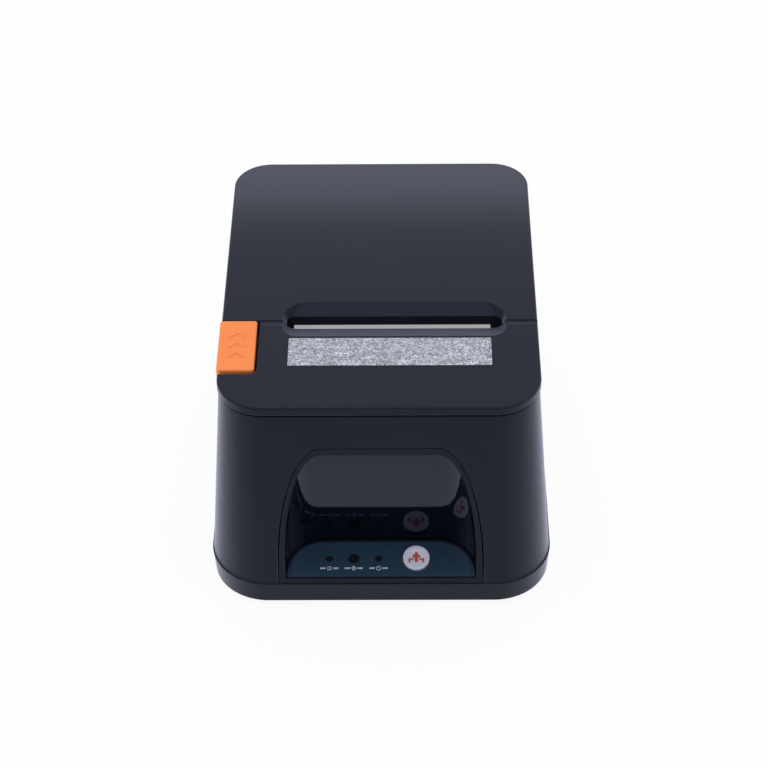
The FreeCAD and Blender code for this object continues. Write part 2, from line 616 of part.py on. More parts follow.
def tear_bar():
    """Steel strip with a row of fine teeth along its rear edge."""
    left, right, near = val("tear_left"), val("tear_right"), val("slot_front + 4 - tear_depth")
    tip, pitch = val("slot_front + 4"), val("tear_pitch")
    root = tip - val("tear_tooth")
    outline = [(right, near), (left, near), (left, root)]
    for i in range(round((right - left) / pitch)):
        outline += [(left + (i + 0.5) * pitch, tip), (left + (i + 1) * pitch, root)]
    bottom = val("plate_bottom - 0.8")
    points = [Vector(x, y, bottom) for x, y in outline]
    face = Part.Face(Part.makePolygon([*points, points[0]]))
    return feature("tear_form", face.extrude(Vector(0, 0, 0.8)))


def build_key():
    cap = rounded_pad("key_cap", ("key_skirt", "key_top"), ("key_left", "key_right"),
                      ("key_front", "key_rear"), 2, 1)
    round_edges(cap, "key_edge", 1.2, lambda edge: edge.BoundBox.ZMin > val("key_top") - 0.1)
    skirt = box("key_inner", ("3.2 - top_half", "key_right - 0.4"), ("key_front + 0.6", "key_rear - 0.6"),
                (96, "key_skirt"))
    room = box("key_room", ("5 - top_half", "key_right - 2"), ("key_front + 2.2", "key_rear - 2.2"),
               (90, "key_top - 2.2"))
    stem = box("key_stem", (-60, -56), ("latch_y - 18", "latch_y - 14"), ("latch_z + 9.5", "key_top - 2"))
    middle = "((key_left + key_right) / 2)"
    marks = []
    for i, y in enumerate((-55, -48.5, -42)):
        marks.append(profile(f"key_mark_{i}", "z", ("key_top - 0.4", "key_top + 0.35"), [
            (f"{middle} - 3.6", f"{y}"), (middle, f"{y} + 3.4"), (f"{middle} + 3.6", f"{y}"),
            (f"{middle} + 3.6", f"{y} + 2.2"), (middle, f"{y} + 5.6"), (f"{middle} - 3.6", f"{y} + 2.2")]))
    hollow = cut("key_hollow", fuse("key_form", [cap, skirt]), room)
    node(fuse("key_set", [hollow, stem, *marks]), "release_button")
    node(profile("key_leaf", "x", (-65, -61.5), [
        (-62.6, 92), (-58, 92), (-37, 95.3), (-37, 95.9), (-58.2, 92.6), (-62.6, 92.6)]), "button_spring")

    arm = [
        ("latch_y - 4.5", "latch_z - 3.5"), ("latch_y + 4", "latch_z - 3.5"),
        ("latch_y + 5", "latch_z + 4"), ("latch_y + 6.5", 92.6), ("latch_y + 9.8", 92.9),
        ("latch_y + 9.8", 95.2), ("latch_y + 4", 96.2), ("latch_y - 3.5", "latch_z + 6"),
        ("latch_y - 18", "latch_z + 9"), ("latch_y - 18", "latch_z + 6.5"), ("latch_y - 4.5", "latch_z + 3")]
    right_arm = arm[:8] + [arm[10]]
    left = profile("latch_left", "x", ("mech_x - frame_half - 4.8", "mech_x - frame_half - 3.3"), arm)
    tab = box("latch_tab", (-61, "mech_x - frame_half - 3.3"), ("latch_y - 18", "latch_y - 14"),
              ("latch_z + 6.5", "latch_z + 9"))
    right = profile("latch_right", "x", ("mech_x + frame_half + 1.4", "mech_x + frame_half + 2.6"), right_arm)
    bore = rod("latch_bore", "x", "latch_radius", (-80, 80), ("latch_y", "latch_z"))
    hooks = [cut("hook_left", fuse("hook_left_form", [left, tab]), bore), cut("hook_right", right, bore)]
    node(group("hook_set", hooks), "latch_hooks")
    node(rod("latch_rod", "x", "latch_radius", ("mech_x - frame_half - 4.8", "mech_x + frame_half + 2.6"),
             ("latch_y", "latch_z")), "latch_shaft")


# the print mechanism

def mesh(centre, distance, angle):
    """Centre of a gear that meshes at a distance and angle in the YZ plane."""
    return (centre[0] + distance * math.cos(angle), centre[1] + distance * math.sin(angle))


def gear_layout():
    """Centres and tooth phases of the feed train and the cutter train."""
    module = val("gear_module")
    platen = (val("platen_y"), val("platen_z"))
    lift = math.atan2(val("hinge_y") - platen[0], platen[1] - val("hinge_z"))
    down = lift + math.pi
    step = module * (GEAR_TEETH["platen"] + GEAR_TEETH["idler_small"]) / 2 + 0.06
    idler = mesh(platen, step, down)
    back = down + math.pi
    swing = math.pi + math.radians(val("feed_angle"))
    reach = module * (GEAR_TEETH["idler_big"] + GEAR_TEETH["pinion"]) / 2 + 0.06
    feed = mesh(idler, reach, swing)
    cutter = (val("cutter_y"), val("cutter_z"))
    tip = math.pi + math.radians(val("cutter_angle"))
    drive = mesh(cutter, module * (GEAR_TEETH["cutter"] + GEAR_TEETH["pinion"]) / 2 + 0.06, tip)
    return {
        "platen": (platen, down), "idler": (idler, back + math.pi / GEAR_TEETH["idler_small"], swing),
        "feed": (feed, swing + math.pi + math.pi / GEAR_TEETH["pinion"]),
        "cutter": (cutter, tip), "drive": (drive, tip + math.pi + math.pi / GEAR_TEETH["pinion"]),
    }


LEFT = "mech_x - frame_half"
RIGHT = "mech_x + frame_half"


def build_frame(layout):
    outline = [
        (-60, "deck_z"), (-8, "deck_z"), (-8, 93), ("platen_y + 4.9", 93), ("platen_y + 4.15", "platen_z"),
        ("platen_y - 4.15", "platen_z"), (-25, 92.5), (-25, 100), (-34, 100), (-34, 108), (-60, 108)]
    sheets = [profile("frame_left", "x", (f"{LEFT} - frame_sheet", LEFT), outline),
              profile("frame_right", "x", (RIGHT, f"{RIGHT} + frame_sheet"), outline),
              box("frame_floor", (LEFT, RIGHT), (-60, -34), ("deck_z", "deck_z + frame_sheet")),
              box("frame_front", (LEFT, RIGHT), (-60, "frame_sheet - 60"), ("deck_z", 86))]
    idler = layout["idler"][0]
    feed = layout["feed"][0]
    drive = layout["drive"][0]
    pin_y, pin_z = head_pin()
    ways = [rod("bush_way", "x", "bush_radius + 0.1", (-80, 80), ("platen_y", "platen_z")),
            rod("head_pin_way", "x", "head_pin", (-80, 80), (pin_y, pin_z)),
            rod("latch_way", "x", "latch_radius + run_fit", (-80, 80), ("latch_y", "latch_z")),
            rod("cutter_way", "x", "cutter_shaft + run_fit", (-80, 80), ("cutter_y", "cutter_z")),
            rod("idler_pin_way", "x", "idler_pin", (20, 80), idler),
            rod("feed_way", "x", 3.6, (20, 80), feed), rod("drive_way", "x", 2.6, (20, 80), drive),
            box("left_window", (-60, 0), (-56, -40), ("deck_z + 6", 84))]
    node(cut("frame_cut", fuse("frame_form", sheets), *ways), "mech_frame")
    shank = rod("idler_shank", "x", "idler_pin", (RIGHT, 64), idler)
    keeper = rod("idler_keeper", "x", 2.3, (63.4, 64.2), idler)
    node(fuse("idler_stud", [shank, keeper]), "idler_pin")
    across = (f"{LEFT} - frame_sheet", f"{RIGHT} + frame_sheet")
    node(rod("head_rod", "x", "head_pin", across, (pin_y, pin_z)), "head_pin")


def head_pin():
    """Head pivot in printer axes."""
    angle = math.radians(val("head_tilt"))
    y, z = val("head_pin_y"), val("head_pin_z")
    base_y, base_z = head_base()
    return (base_y + y * math.cos(angle) - z * math.sin(angle),
            base_z + y * math.sin(angle) + z * math.cos(angle))


def head_base():
    """Line where the platen touches the head."""
    angle = math.radians(val("head_tilt"))
    return (val("platen_y") - val("platen_radius") * math.cos(angle),
            val("platen_z") - val("platen_radius") * math.sin(angle))


def build_head():
    y, z = head_base()
    span = ("mech_x - 42", "mech_x + 42")
    plate = box("head_plate", span, (-1.2, -0.2), (-7, 7))
    cover = box("head_chip", ("mech_x - 38", "mech_x + 38"), (-1.2, 0.6), (-7, -4.6))
    node(tilt(fuse("head_form", [plate, cover]), 0, y, z, "head_tilt"), "print_head")
    sink = box("sink_form", span, (-7.2, -1.2), (-10, 9))
    grooves = [box(f"sink_groove_{i}", span, (-8, -5), (low, low + 1.6))
               for i, low in enumerate((-4.6, -1.2, 2.2))]
    bore = rod("sink_bore", "x", "head_pin + run_fit", ("mech_x - 50", "mech_x + 50"),
               ("head_pin_y", "head_pin_z"))
    node(tilt(cut("sink_cut", sink, bore, *grooves), 0, y, z, "head_tilt"), "head_sink")
    node(profile("head_leaf", "x", ("mech_x - 14", "mech_x + 8"), [
        ("frame_sheet - 60", 76), ("frame_sheet - 59.4", 76), ("frame_sheet - 59.4", 83.8), (-46, 83.2),
        (-33.4, 87.4), (-33.7, 88), (-46, 83.8), ("frame_sheet - 60", 84.6)]), "head_spring")


def build_feed(layout):
    (platen_y, platen_z), platen_phase = layout["platen"]
    (idler_y, idler_z), small_phase, big_phase = layout["idler"]
    (feed_y, feed_z), pinion_phase = layout["feed"]
    axis = ("platen_y", "platen_z")
    node(rod("platen_core", "x", "shaft_radius", (f"{LEFT} - 5.4", f"{RIGHT} + 7.2"), axis), "platen_shaft")
    width = ("mech_x - paper_half - 1", "mech_x + paper_half + 1")
    tube = rod("platen_tube", "x", "platen_radius", width, axis)
    sleeve_bore = rod("sleeve_bore", "x", "shaft_radius", (-80, 80), axis)
    node(cut("platen_sleeve", tube, sleeve_bore), "platen_rubber")
    node(gear("platen_wheel", GEAR_TEETH["platen"], platen_phase, (f"{RIGHT} + 3", f"{RIGHT} + 7"),
              platen_y, platen_z, val("shaft_radius")), "platen_gear")
    bushes = []
    spans = {"left": (f"{LEFT} - 5", f"{LEFT} + 0.35"), "right": (f"{RIGHT} - 0.35", f"{RIGHT} + 2.7")}
    for side, span in spans.items():
        ring = rod(f"bush_{side}_form", "x", "bush_radius", span, axis)
        hole = rod(f"bush_{side}_bore", "x", "shaft_radius + run_fit", span, axis)
        bushes.append(cut(f"bush_{side}", ring, hole))
    node(group("bush_set", bushes), "platen_bushes")

    small = gear("idler_small", GEAR_TEETH["idler_small"], small_phase,
                 (f"{RIGHT} + 2.8", f"{RIGHT} + 7.7"), idler_y, idler_z, 0)
    big = gear("idler_big", GEAR_TEETH["idler_big"], big_phase, (f"{RIGHT} + 7.7", f"{RIGHT} + 10.7"),
               idler_y, idler_z, 0)
    bore = rod("idler_bore", "x", "idler_pin + run_fit", (20, 80), (idler_y, idler_z))
    node(cut("idler_cut", fuse("idler_form", [small, big]), bore), "idler_gear")

    wheel = gear("feed_wheel", GEAR_TEETH["pinion"], pinion_phase, (f"{RIGHT} + 7.7", f"{RIGHT} + 10.7"),
                 feed_y, feed_z, 0)
    arbor = rod("feed_arbor", "x", 1, (f"{RIGHT} - 6", f"{RIGHT} + 11"), (feed_y, feed_z))
    node(fuse("feed_rotor", [wheel, arbor]), "feed_pinion")
    can = rod("feed_can", "x", "feed_radius", (f"{RIGHT} - 21", f"{RIGHT} - 1.2"), (feed_y, feed_z))
    flange = box("feed_flange", (f"{RIGHT} - 1.2", RIGHT), (feed_y - 7, feed_y + 7),
                 (feed_z - 13, feed_z + 9.4))
    nose = rod("feed_nose", "x", 3.4, (RIGHT, f"{RIGHT} + 1.6"), (feed_y, feed_z))
    way = rod("feed_bore", "x", "1 + run_fit", (f"{RIGHT} - 7", 80), (feed_y, feed_z))
    node(cut("feed_cut", fuse("feed_body", [can, flange, nose]), way), "feed_motor")


def rack_shape(x, y, pitch_z, contact_y):
    """Toothed strip above a pinion, with a gap over the pinion's top tooth."""
    module = val("gear_module")
    step = math.pi * module
    slope = math.tan(PRESSURE_ANGLE)
    half = step / 4 - 0.05
    top = val("blade_z")
    tip, root = pitch_z - 0.9 * module, pitch_z + 1.2 * module
    first = math.ceil((y[0] + 1 - contact_y - step / 2) / step)
    last = math.floor((y[1] - 1 - contact_y - step / 2) / step)
    corners = [Vector(x[0], y[1], top), Vector(x[0], y[0], top), Vector(x[0], y[0], root)]
    for index in range(first, last + 1):
        centre = contact_y + step / 2 + index * step
        wide, slim = half + 1.2 * module * slope, half - 0.9 * module * slope
        corners += [Vector(x[0], centre - wide, root), Vector(x[0], centre - slim, tip),
                    Vector(x[0], centre + slim, tip), Vector(x[0], centre + wide, root)]
    corners.append(Vector(x[0], y[1], root))
    return Part.Face(Part.makePolygon(corners + corners[:1])).extrude(Vector(x[1] - x[0], 0, 0))


def build_cutter(layout):
    (shaft_y, shaft_z), gear_phase = layout["cutter"]
    (drive_y, drive_z), drive_phase = layout["drive"]
    left = (f"{LEFT} + 1.5", f"{LEFT} + 6.3")
    right = (f"{RIGHT} - 6.3", f"{RIGHT} - 1.5")
    node(profile("blade_form", "z", ("blade_z", "blade_z + blade_sheet"), [
        (left[0], "blade_front"), (right[1], "blade_front"), (right[1], "blade_edge"),
        ("mech_x", "blade_edge - blade_vee"), (left[0], "blade_edge")]), "moving_blade")
    pitch_z = shaft_z + val("gear_module") * GEAR_TEETH["pinion"] / 2 + 0.03
    racks = []
    pinions = []
    for side, span in (("left", left), ("right", right)):
        x = (val(span[0]), val(span[1]))
        racks.append(feature(f"rack_{side}", rack_shape(x, (val("blade_front"), -40), pitch_z, shaft_y)))
        pinions.append(gear(f"rack_pinion_{side}", GEAR_TEETH["pinion"], math.pi / 2, span,
                            shaft_y, shaft_z, val("cutter_shaft")))
    node(group("rack_set", racks), "blade_racks")
    node(group("pinion_set", pinions), "cutter_pinions")
    node(rod("cutter_rod", "x", "cutter_shaft", (f"{LEFT} - 0.9", f"{RIGHT} + 6.4"),
             ("cutter_y", "cutter_z")), "cutter_shaft")
    node(gear("cutter_wheel", GEAR_TEETH["cutter"], gear_phase, (f"{RIGHT} + 3", f"{RIGHT} + 6"),
              shaft_y, shaft_z, val("cutter_shaft")), "cutter_gear")
    wheel = gear("drive_wheel", GEAR_TEETH["pinion"], drive_phase, (f"{RIGHT} + 3", f"{RIGHT} + 6"),
                 drive_y, drive_z, 0)
    arbor = rod("drive_arbor", "x", 1, (f"{RIGHT} - 6", f"{RIGHT} + 6.3"), (drive_y, drive_z))
    node(fuse("drive_rotor", [wheel, arbor]), "cutter_drive")
    can = rod("drive_can", "x", "cutter_radius", (f"{RIGHT} - 30", RIGHT), (drive_y, drive_z))
    nose = rod("drive_nose", "x", 2.5, (RIGHT, f"{RIGHT} + 1.6"), (drive_y, drive_z))
    way = rod("drive_bore", "x", "1 + run_fit", (f"{RIGHT} - 7", 80), (drive_y, drive_z))
    node(cut("drive_cut", fuse("drive_body", [can, nose]), way), "cutter_motor")

    middle = (f"{LEFT} + 7", f"{RIGHT} - 7")
    plate = box("guide_plate", middle, (-58, "blade_edge - 0.5"), ("blade_z - 1.3", "blade_z - 0.1"))
    web = box("guide_web", middle, (-58, -55), (97.6, "blade_z - 0.1"))
    bar = box("guide_bar", (LEFT, RIGHT), (-58, -55), (97.6, 99.6))
    node(fuse("guide_form", [plate, web, bar]), "cutter_guide")


def build_liner():
    inside = (f"{LEFT} + 3.2", f"{RIGHT} - 3.2")
    beam = profile("liner_beam", "x", inside, [
        (-22.5, 97.5), (-22.5, "blade_z - 1"), (-9, "blade_z - 1"), (-9, "plate_bottom"),
        (-4, "plate_bottom"), (-4, 84), (-8, 84), (-8, 97.5)])
    cheek = [
        ("platen_y - 5.5", "platen_z - 3"), ("platen_y + 2", "platen_z - 6"), (-4, 84), (-4, "plate_bottom"),
        ("slot_rear + 3.2", "plate_bottom"), ("slot_rear + 3.2", 104.2), (-22.5, "blade_z - 1"),
        (-22.5, 97.5)]
    left = profile("cheek_left", "x", (f"{LEFT} + 0.5", inside[0]), cheek)
    right = profile("cheek_right", "x", (inside[1], f"{RIGHT} - 0.5"), cheek)
    bore = rod("liner_bore", "x", "shaft_radius + run_fit", (-80, 80), ("platen_y", "platen_z"))
    seat = box("blade_seat", (f"{LEFT} - 2", f"{RIGHT} + 2"), (-30, -9), ("blade_z - 1", "blade_z + 1.6"))
    node(cut("liner_cut", fuse("liner_form", [beam, left, right]), bore, seat), "lid_liner")
    node(box("fixed_form", (f"{LEFT} + 3.4", f"{RIGHT} - 3.4"), (-25.6, -9),
             ("blade_z - 1", "blade_z - 0.1")), "fixed_blade")


# paper hopper and electronics

def build_hopper():
    low, high = "mech_x - hopper_half", "mech_x + hopper_half"
    axis = ("roll_y", "roll_z")
    drum = rod("hopper_drum", "x", "hopper_radius + hopper_wall", (low, high), axis)
    depth = ("roll_y - hopper_radius - hopper_wall", "roll_y + hopper_radius + hopper_wall")
    sides = box("hopper_sides", (low, high), depth, ("roll_z", "hopper_top"))
    room = (f"{low} + hopper_wall", f"{high} - hopper_wall")
    hollow = rod("hopper_hollow", "x", "hopper_radius", room, axis)
    mouth = box("hopper_mouth", room, ("roll_y - hopper_radius", "roll_y + hopper_radius"), ("roll_z", 120))
    crown = box("hopper_crown", (-90, 90), (-60, 120), ("hopper_top", 160))
    front_low = box("hopper_front_low", (-90, 90), (-60, "roll_y - hopper_radius + 1"), (76, 160))
    drum_shell = cut("hopper_shell", fuse("hopper_form", [drum, sides]), hollow, mouth, crown, front_low)
    legs = []
    for i, x in enumerate(((low, f"{low} + hopper_wall"), (f"{high} - hopper_wall", high))):
        legs.append(box(f"hopper_leg_{i}", x, ("deck_front", 68), ("foot_height + floor_thick", "deck_z")))
    windows = [box(f"hopper_window_{i}", (x, f"{x} + 10"), (-50, -20), (20, 40))
               for i, x in enumerate((-44, 44))]
    deck = box("hopper_deck", ("mech_x - 51", "mech_x + 51"), ("deck_front", depth[0]),
               ("deck_z - 2", "deck_z"))
    swept = rod("hopper_clear", "x", "hopper_radius", room, axis)
    legs_cut = cut("hopper_legs", fuse("hopper_leg_pair", legs), swept, *windows)
    node(fuse("hopper_set", [drum_shell, legs_cut, deck]), "paper_hopper")
    node(box("sensor_form", (f"{low} - 3", low), (22, 32), (24, 34)), "paper_sensor")


def socket(name, x, z_top, cavity, extras):
    """Board socket with a cavity open to the rear; cavity is (x pair, z pair, depth)."""
    face = "panel_y + 1.4"
    shell = box(f"{name}_shell", x, (70, face), ("board_z + board_thick", z_top))
    cx, cz, depth = cavity
    room = box(f"{name}_room", cx, (f"{face} - {depth}", f"{face} + 1"), cz)
    return cut(f"{name}_cut", shell, room, *extras)


def build_electronics():
    top = "board_z + board_thick"
    board = box("board_form", ("mech_x - 40.5", "mech_x + 40.5"), (-40, 83.5), ("board_z", top))
    chips = [box("chip_main", (-6, 8), (-24, -10), (top, f"{top} + 1.4")),
             box("chip_memory", (18, 30), (-22, -14), (top, f"{top} + 1.2")),
             rod("can_large", "z", 5, (top, f"{top} + 14"), (-24, -30)),
             rod("can_small", "z", 4, (top, f"{top} + 12"), (-12, -32))]
    node(fuse("board_set", [board, *chips]), "main_board")

    tray = box("tray_form", ("mech_x - 44.5", "mech_x + 44.5"), ("panel_y", 87.9), ("base_top + 0.1", 35))
    tray_room = box("tray_room", ("mech_x - 43.5", "mech_x + 43.5"), ("panel_y + panel_sheet", 95), (0, 34))
    ways = {
        "switch": ((-34.3, -21.7), (15.4, 32.6)),
        "dc": ((-17.3, -4.7), (11, 24.3)),
        "usb": ((-1.3, 11.3), (11, 23.1)),
        "lan": ((14.2, 30.8), (11, 25.3)),
        "drawer": ((33.2, 46.3), (11, 24.3)),
    }
    holes = [box(f"{name}_hole", x, (80, 90), z) for name, (x, z) in ways.items()]
    node(cut("tray_cut", tray, tray_room, *holes), "connector_plate")

    face = "panel_y + 1.4"
    node(socket("lan", (14.5, 30.5), 25, ((16.5, 28.5), (14.4, 21.6), 13),
                [box("lan_key", (19, 26), (f"{face} - 13", 90), (21, 23.4))]), "lan_socket")
    node(socket("drawer", (33.5, 46), 24, ((34.8, 44.7), (14.4, 21.2), 12),
                [box("drawer_key", (37, 42.5), (f"{face} - 12", 90), (21, 22.8))]), "drawer_socket")
    usb = socket("usb", (-1, 11), 22.8, ((0.7, 9.3), (13.4, 21.2), 10),
                 [box("usb_key", (2, 8), (80, 90), (21, 21.9))])
    tongue = box("usb_tongue", (2.2, 7.8), (74, f"{face} - 1"), (15.8, 18.8))
    node(fuse("usb_set", [usb, tongue]), "usb_socket")
    dc_shell = box("dc_shell", (-17, -5), (70, face), ("board_z + board_thick", 24))
    dc_well = rod("dc_well", "y", 4.75, (f"{face} - 9", 90), (-11, 18))
    pins = [rod(f"dc_pin_{i}", "y", 0.6, (75, f"{face} - 2.5"),
                (-11 + 2.6 * math.cos(turn), 18 + 2.6 * math.sin(turn)))
            for i, turn in enumerate(math.radians(a) for a in (90, 210, 330))]
    node(fuse("dc_set", [cut("dc_cut", dc_shell, dc_well), *pins]), "dc_inlet")

    flange = box("switch_flange", (-35.2, -20.8), ("panel_y + panel_sheet", "panel_y + panel_sheet + 1.2"),
                 (14.5, 33.4))
    block = box("switch_block", (-34, -22), (72, "panel_y + panel_sheet"), (15.7, 32.3))
    well = box("switch_well", (-32.6, -23.4), (77, 90), (17.1, 30.9))
    bearing = rod("switch_bearing", "x", "rocker_pin + run_fit", (-33.5, -22.5), (84.2, 24))
    node(cut("switch_cut", fuse("switch_form", [flange, block]), well, bearing), "switch_body")
    paddle = profile("rocker_form", "x", (-4.3, 4.3), [
        (-3, -4.2), (2.8, -5.9), (1.4, 0), (2.8, 5.9), (-3, 4.2)])
    trunnion = rod("rocker_trunnion", "x", "rocker_pin", (-5.3, 5.3), (0, 0))
    node(tilt(fuse("rocker_set", [paddle, trunnion]), -28, 84.2, 24, -10), "power_rocker")


build_base()
build_shell()
build_front()
build_top()
build_key()
gears = gear_layout()
build_frame(gears)
build_head()
build_feed(gears)
build_cutter(gears)
build_liner()
build_hopper()
build_electronics()
doc.recompute()

for obj in doc.Objects:
    if any(word in obj.State for word in ("Invalid", "Error")):
        raise RuntimeError(f"{obj.Name} did not build: {obj.State}")
os.makedirs("parts", exist_ok=True)
for obj in nodes:
    if obj.Shape.isNull() or not obj.Shape.isValid() or obj.Shape.Volume <= 0:
        raise RuntimeError(f"{obj.Label} has no valid solid")
    obj.Shape.exportStep(f"parts/{obj.Label}.step")
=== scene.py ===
"""Looks of the desktop receipt printer.

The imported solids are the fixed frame. This script gives each of them its finish, adds the printed, stamped and
stuck-on details that ride on them, and sets up the studio and the camera of the reference view.
"""
import logging
import math
from dataclasses import dataclass
from enum import Enum

import bmesh
import bpy
from mathutils import Matrix, Vector


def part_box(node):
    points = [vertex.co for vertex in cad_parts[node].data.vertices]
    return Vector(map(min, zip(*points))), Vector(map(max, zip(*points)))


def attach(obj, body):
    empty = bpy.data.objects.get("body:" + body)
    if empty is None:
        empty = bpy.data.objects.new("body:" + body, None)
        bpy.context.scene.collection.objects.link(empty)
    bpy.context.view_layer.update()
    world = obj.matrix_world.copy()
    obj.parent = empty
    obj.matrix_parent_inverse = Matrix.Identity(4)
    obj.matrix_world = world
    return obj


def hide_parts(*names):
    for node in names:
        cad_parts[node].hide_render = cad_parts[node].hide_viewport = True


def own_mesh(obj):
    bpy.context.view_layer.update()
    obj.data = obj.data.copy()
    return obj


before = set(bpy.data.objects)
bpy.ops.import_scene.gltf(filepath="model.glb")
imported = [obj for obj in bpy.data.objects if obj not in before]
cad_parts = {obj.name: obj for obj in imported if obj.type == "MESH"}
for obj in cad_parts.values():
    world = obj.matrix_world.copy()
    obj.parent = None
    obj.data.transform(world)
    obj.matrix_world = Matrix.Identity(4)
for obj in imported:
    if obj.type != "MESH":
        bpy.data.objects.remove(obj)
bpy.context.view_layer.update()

MM = 0.001
IMAGE_PIXELS = 768
SENSOR_MM = 36.0
LOG = logging.getLogger("receipt_printer")

# Places of the colour inputs and of the colour output on Blender's Mix node.
MIX_A, MIX_B, MIX_RESULT = 6, 7, 2

# Steps round a small corner and round a circle, and samples for a softened edge.
CORNER_STEPS = 5
CIRCLE_SIDES = 32
EDGE_SAMPLES = 6

# Distance at which points count as one.
MERGE_MM = 0.001

# Sizes and places, and Blender's types under short names.
Pair = tuple[float, float]
Triple = tuple[float, float, float]
Mesh = bmesh.types.BMesh
Verts = list[bmesh.types.BMVert]
Faces = list[bmesh.types.BMFace]
Tree = bpy.types.NodeTree
Node = bpy.types.Node
Socket = bpy.types.NodeSocket


class Body(Enum):
    """The bodies that scene pieces ride on."""

    HOUSING = "housing"
    FEED_KEY = "feed_key"
    HEAD = "head"
    ROCKER = "rocker"


class Stroke(Enum):
    """Direction of the marks that brushing, rolling or grinding left, as the axis they run along."""

    ACROSS = (1.0, 0.0, 0.0)
    ALONG = (0.0, 1.0, 0.0)
    UPRIGHT = (0.0, 0.0, 1.0)


def linear(code: str) -> tuple[float, float, float, float]:
    """Turn an sRGB hex colour into linear RGBA.

    Args:
        code: Colour as "#rrggbb".

    Returns:
        Linear red, green and blue, and an alpha of 1.
    """
    channels = [int(code[start:start + 2], 16) / 255 for start in (1, 3, 5)]
    toned = [c / 12.92 if c <= 0.04045 else ((c + 0.055) / 1.055) ** 2.4 for c in channels]
    return (*toned, 1.0)


def per_metre(size_mm: float) -> float:
    """Scale of a pattern whose features are so many millimetres wide."""
    return 1.0 / (size_mm * MM)


def add_node(tree: Tree, kind: str, values: dict, **settings) -> Node:
    """Add one node with its settings, input values and links.

    Args:
        tree: Node tree that gets the node.
        kind: Blender's name of the node type.
        values: Input name or index, with a plain value or an output socket to link.
        settings: Attributes of the node, such as operation or data_type.

    Returns:
        The new node.
    """
    node = tree.nodes.new(kind)
    for name, setting in settings.items():
        setattr(node, name, setting)
    for key, value in values.items():
        if isinstance(value, Socket):
            tree.links.new(value, node.inputs[key])
        else:
            node.inputs[key].default_value = value
    return node


@dataclass(frozen=True)
class Finish:
    """A real material and how its surface was made.

    Attributes:
        name: Common name of the material and its making.
        colour: sRGB hex of the body colour.
        tint: sRGB hex that the pattern drifts towards.
        roughness: Middle roughness.
        spread: How far the roughness strays either way.
        ior: Refractive index.
        gloss: Specular level, 0.5 being what the index gives.
        metallic: 1 for bare metal.
        bloom: Share of the pale sheen that a fine texture shows at grazing angles.
        bloom_spread: Roughness of that sheen.
        cast: sRGB hex of the tint of its reflections and of the sheen.
        edge_mm: Radius that the mould or the tumbling left on edges.
    """

    name: str
    colour: str
    tint: str
    roughness: float
    spread: float = 0.05
    ior: float = 1.5
    gloss: float = 0.5
    metallic: float = 0.0
    bloom: float = 0.0
    bloom_spread: float = 0.35
    cast: str = "#ffffff"
    edge_mm: float = 0.3

    def material(self) -> bpy.types.Material:
        """Give the material of this finish, made the first time it is asked for.

        Returns:
            The material.
        """
        made = bpy.data.materials.get(self.name)
        if made is None:
            made = bpy.data.materials.new(self.name)
            made.use_nodes = True
            shader = made.node_tree.nodes["Principled BSDF"]
            even = {
                "Base Color": linear(self.colour), "Roughness": self.roughness, "Metallic": self.metallic,
                "IOR": self.ior, "Specular IOR Level": self.gloss, "Specular Tint": linear(self.cast),
                "Sheen Weight": self.bloom, "Sheen Roughness": self.bloom_spread, "Sheen Tint": linear(self.cast),
            }
            for socket, value in even.items():
                shader.inputs[socket].default_value = value
            self.pattern(made.node_tree, shader)
        return made

    def pattern(self, tree: Tree, shader: Node) -> None:
        """Add the finish's own texture nodes; a plain finish has none.

        Args:
            tree: The material's node tree.
            shader: Principled node that the texture drives.
        """

    def place(self, tree: Tree, stretch: Triple = (1.0, 1.0, 1.0)) -> Socket:
        """Read Object coordinates, stretched where a pattern runs one way.

        Args:
            tree: The material's node tree.
            stretch: Scale on each axis.

        Returns:
            The vector output to read.
        """
        coords = add_node(tree, "ShaderNodeTexCoord", {})
        return add_node(tree, "ShaderNodeMapping", {"Vector": coords.outputs["Object"], "Scale": stretch}).outputs[0]

    def edges(self, tree: Tree) -> Node:
        """Soften the shading along edges by the finish's edge radius."""
        return add_node(tree, "ShaderNodeBevel", {"Radius": self.edge_mm * MM}, samples=EDGE_SAMPLES)

    def vary(self, tree: Tree, shader: Node, amount: Socket) -> None:
        """Let an amount from 0 to 1 move colour and roughness.

        Args:
            tree: The material's node tree.
            shader: Principled node that is driven.
            amount: Output socket of the pattern.
        """
        blend = add_node(tree, "ShaderNodeMix", {
            0: amount, MIX_A: linear(self.colour), MIX_B: linear(self.tint)}, data_type="RGBA")
        tree.links.new(blend.outputs[MIX_RESULT], shader.inputs["Base Color"])
        rough = add_node(tree, "ShaderNodeMapRange", {
            "Value": amount, "To Min": self.roughness - self.spread, "To Max": self.roughness + self.spread})
        tree.links.new(rough.outputs[0], shader.inputs["Roughness"])


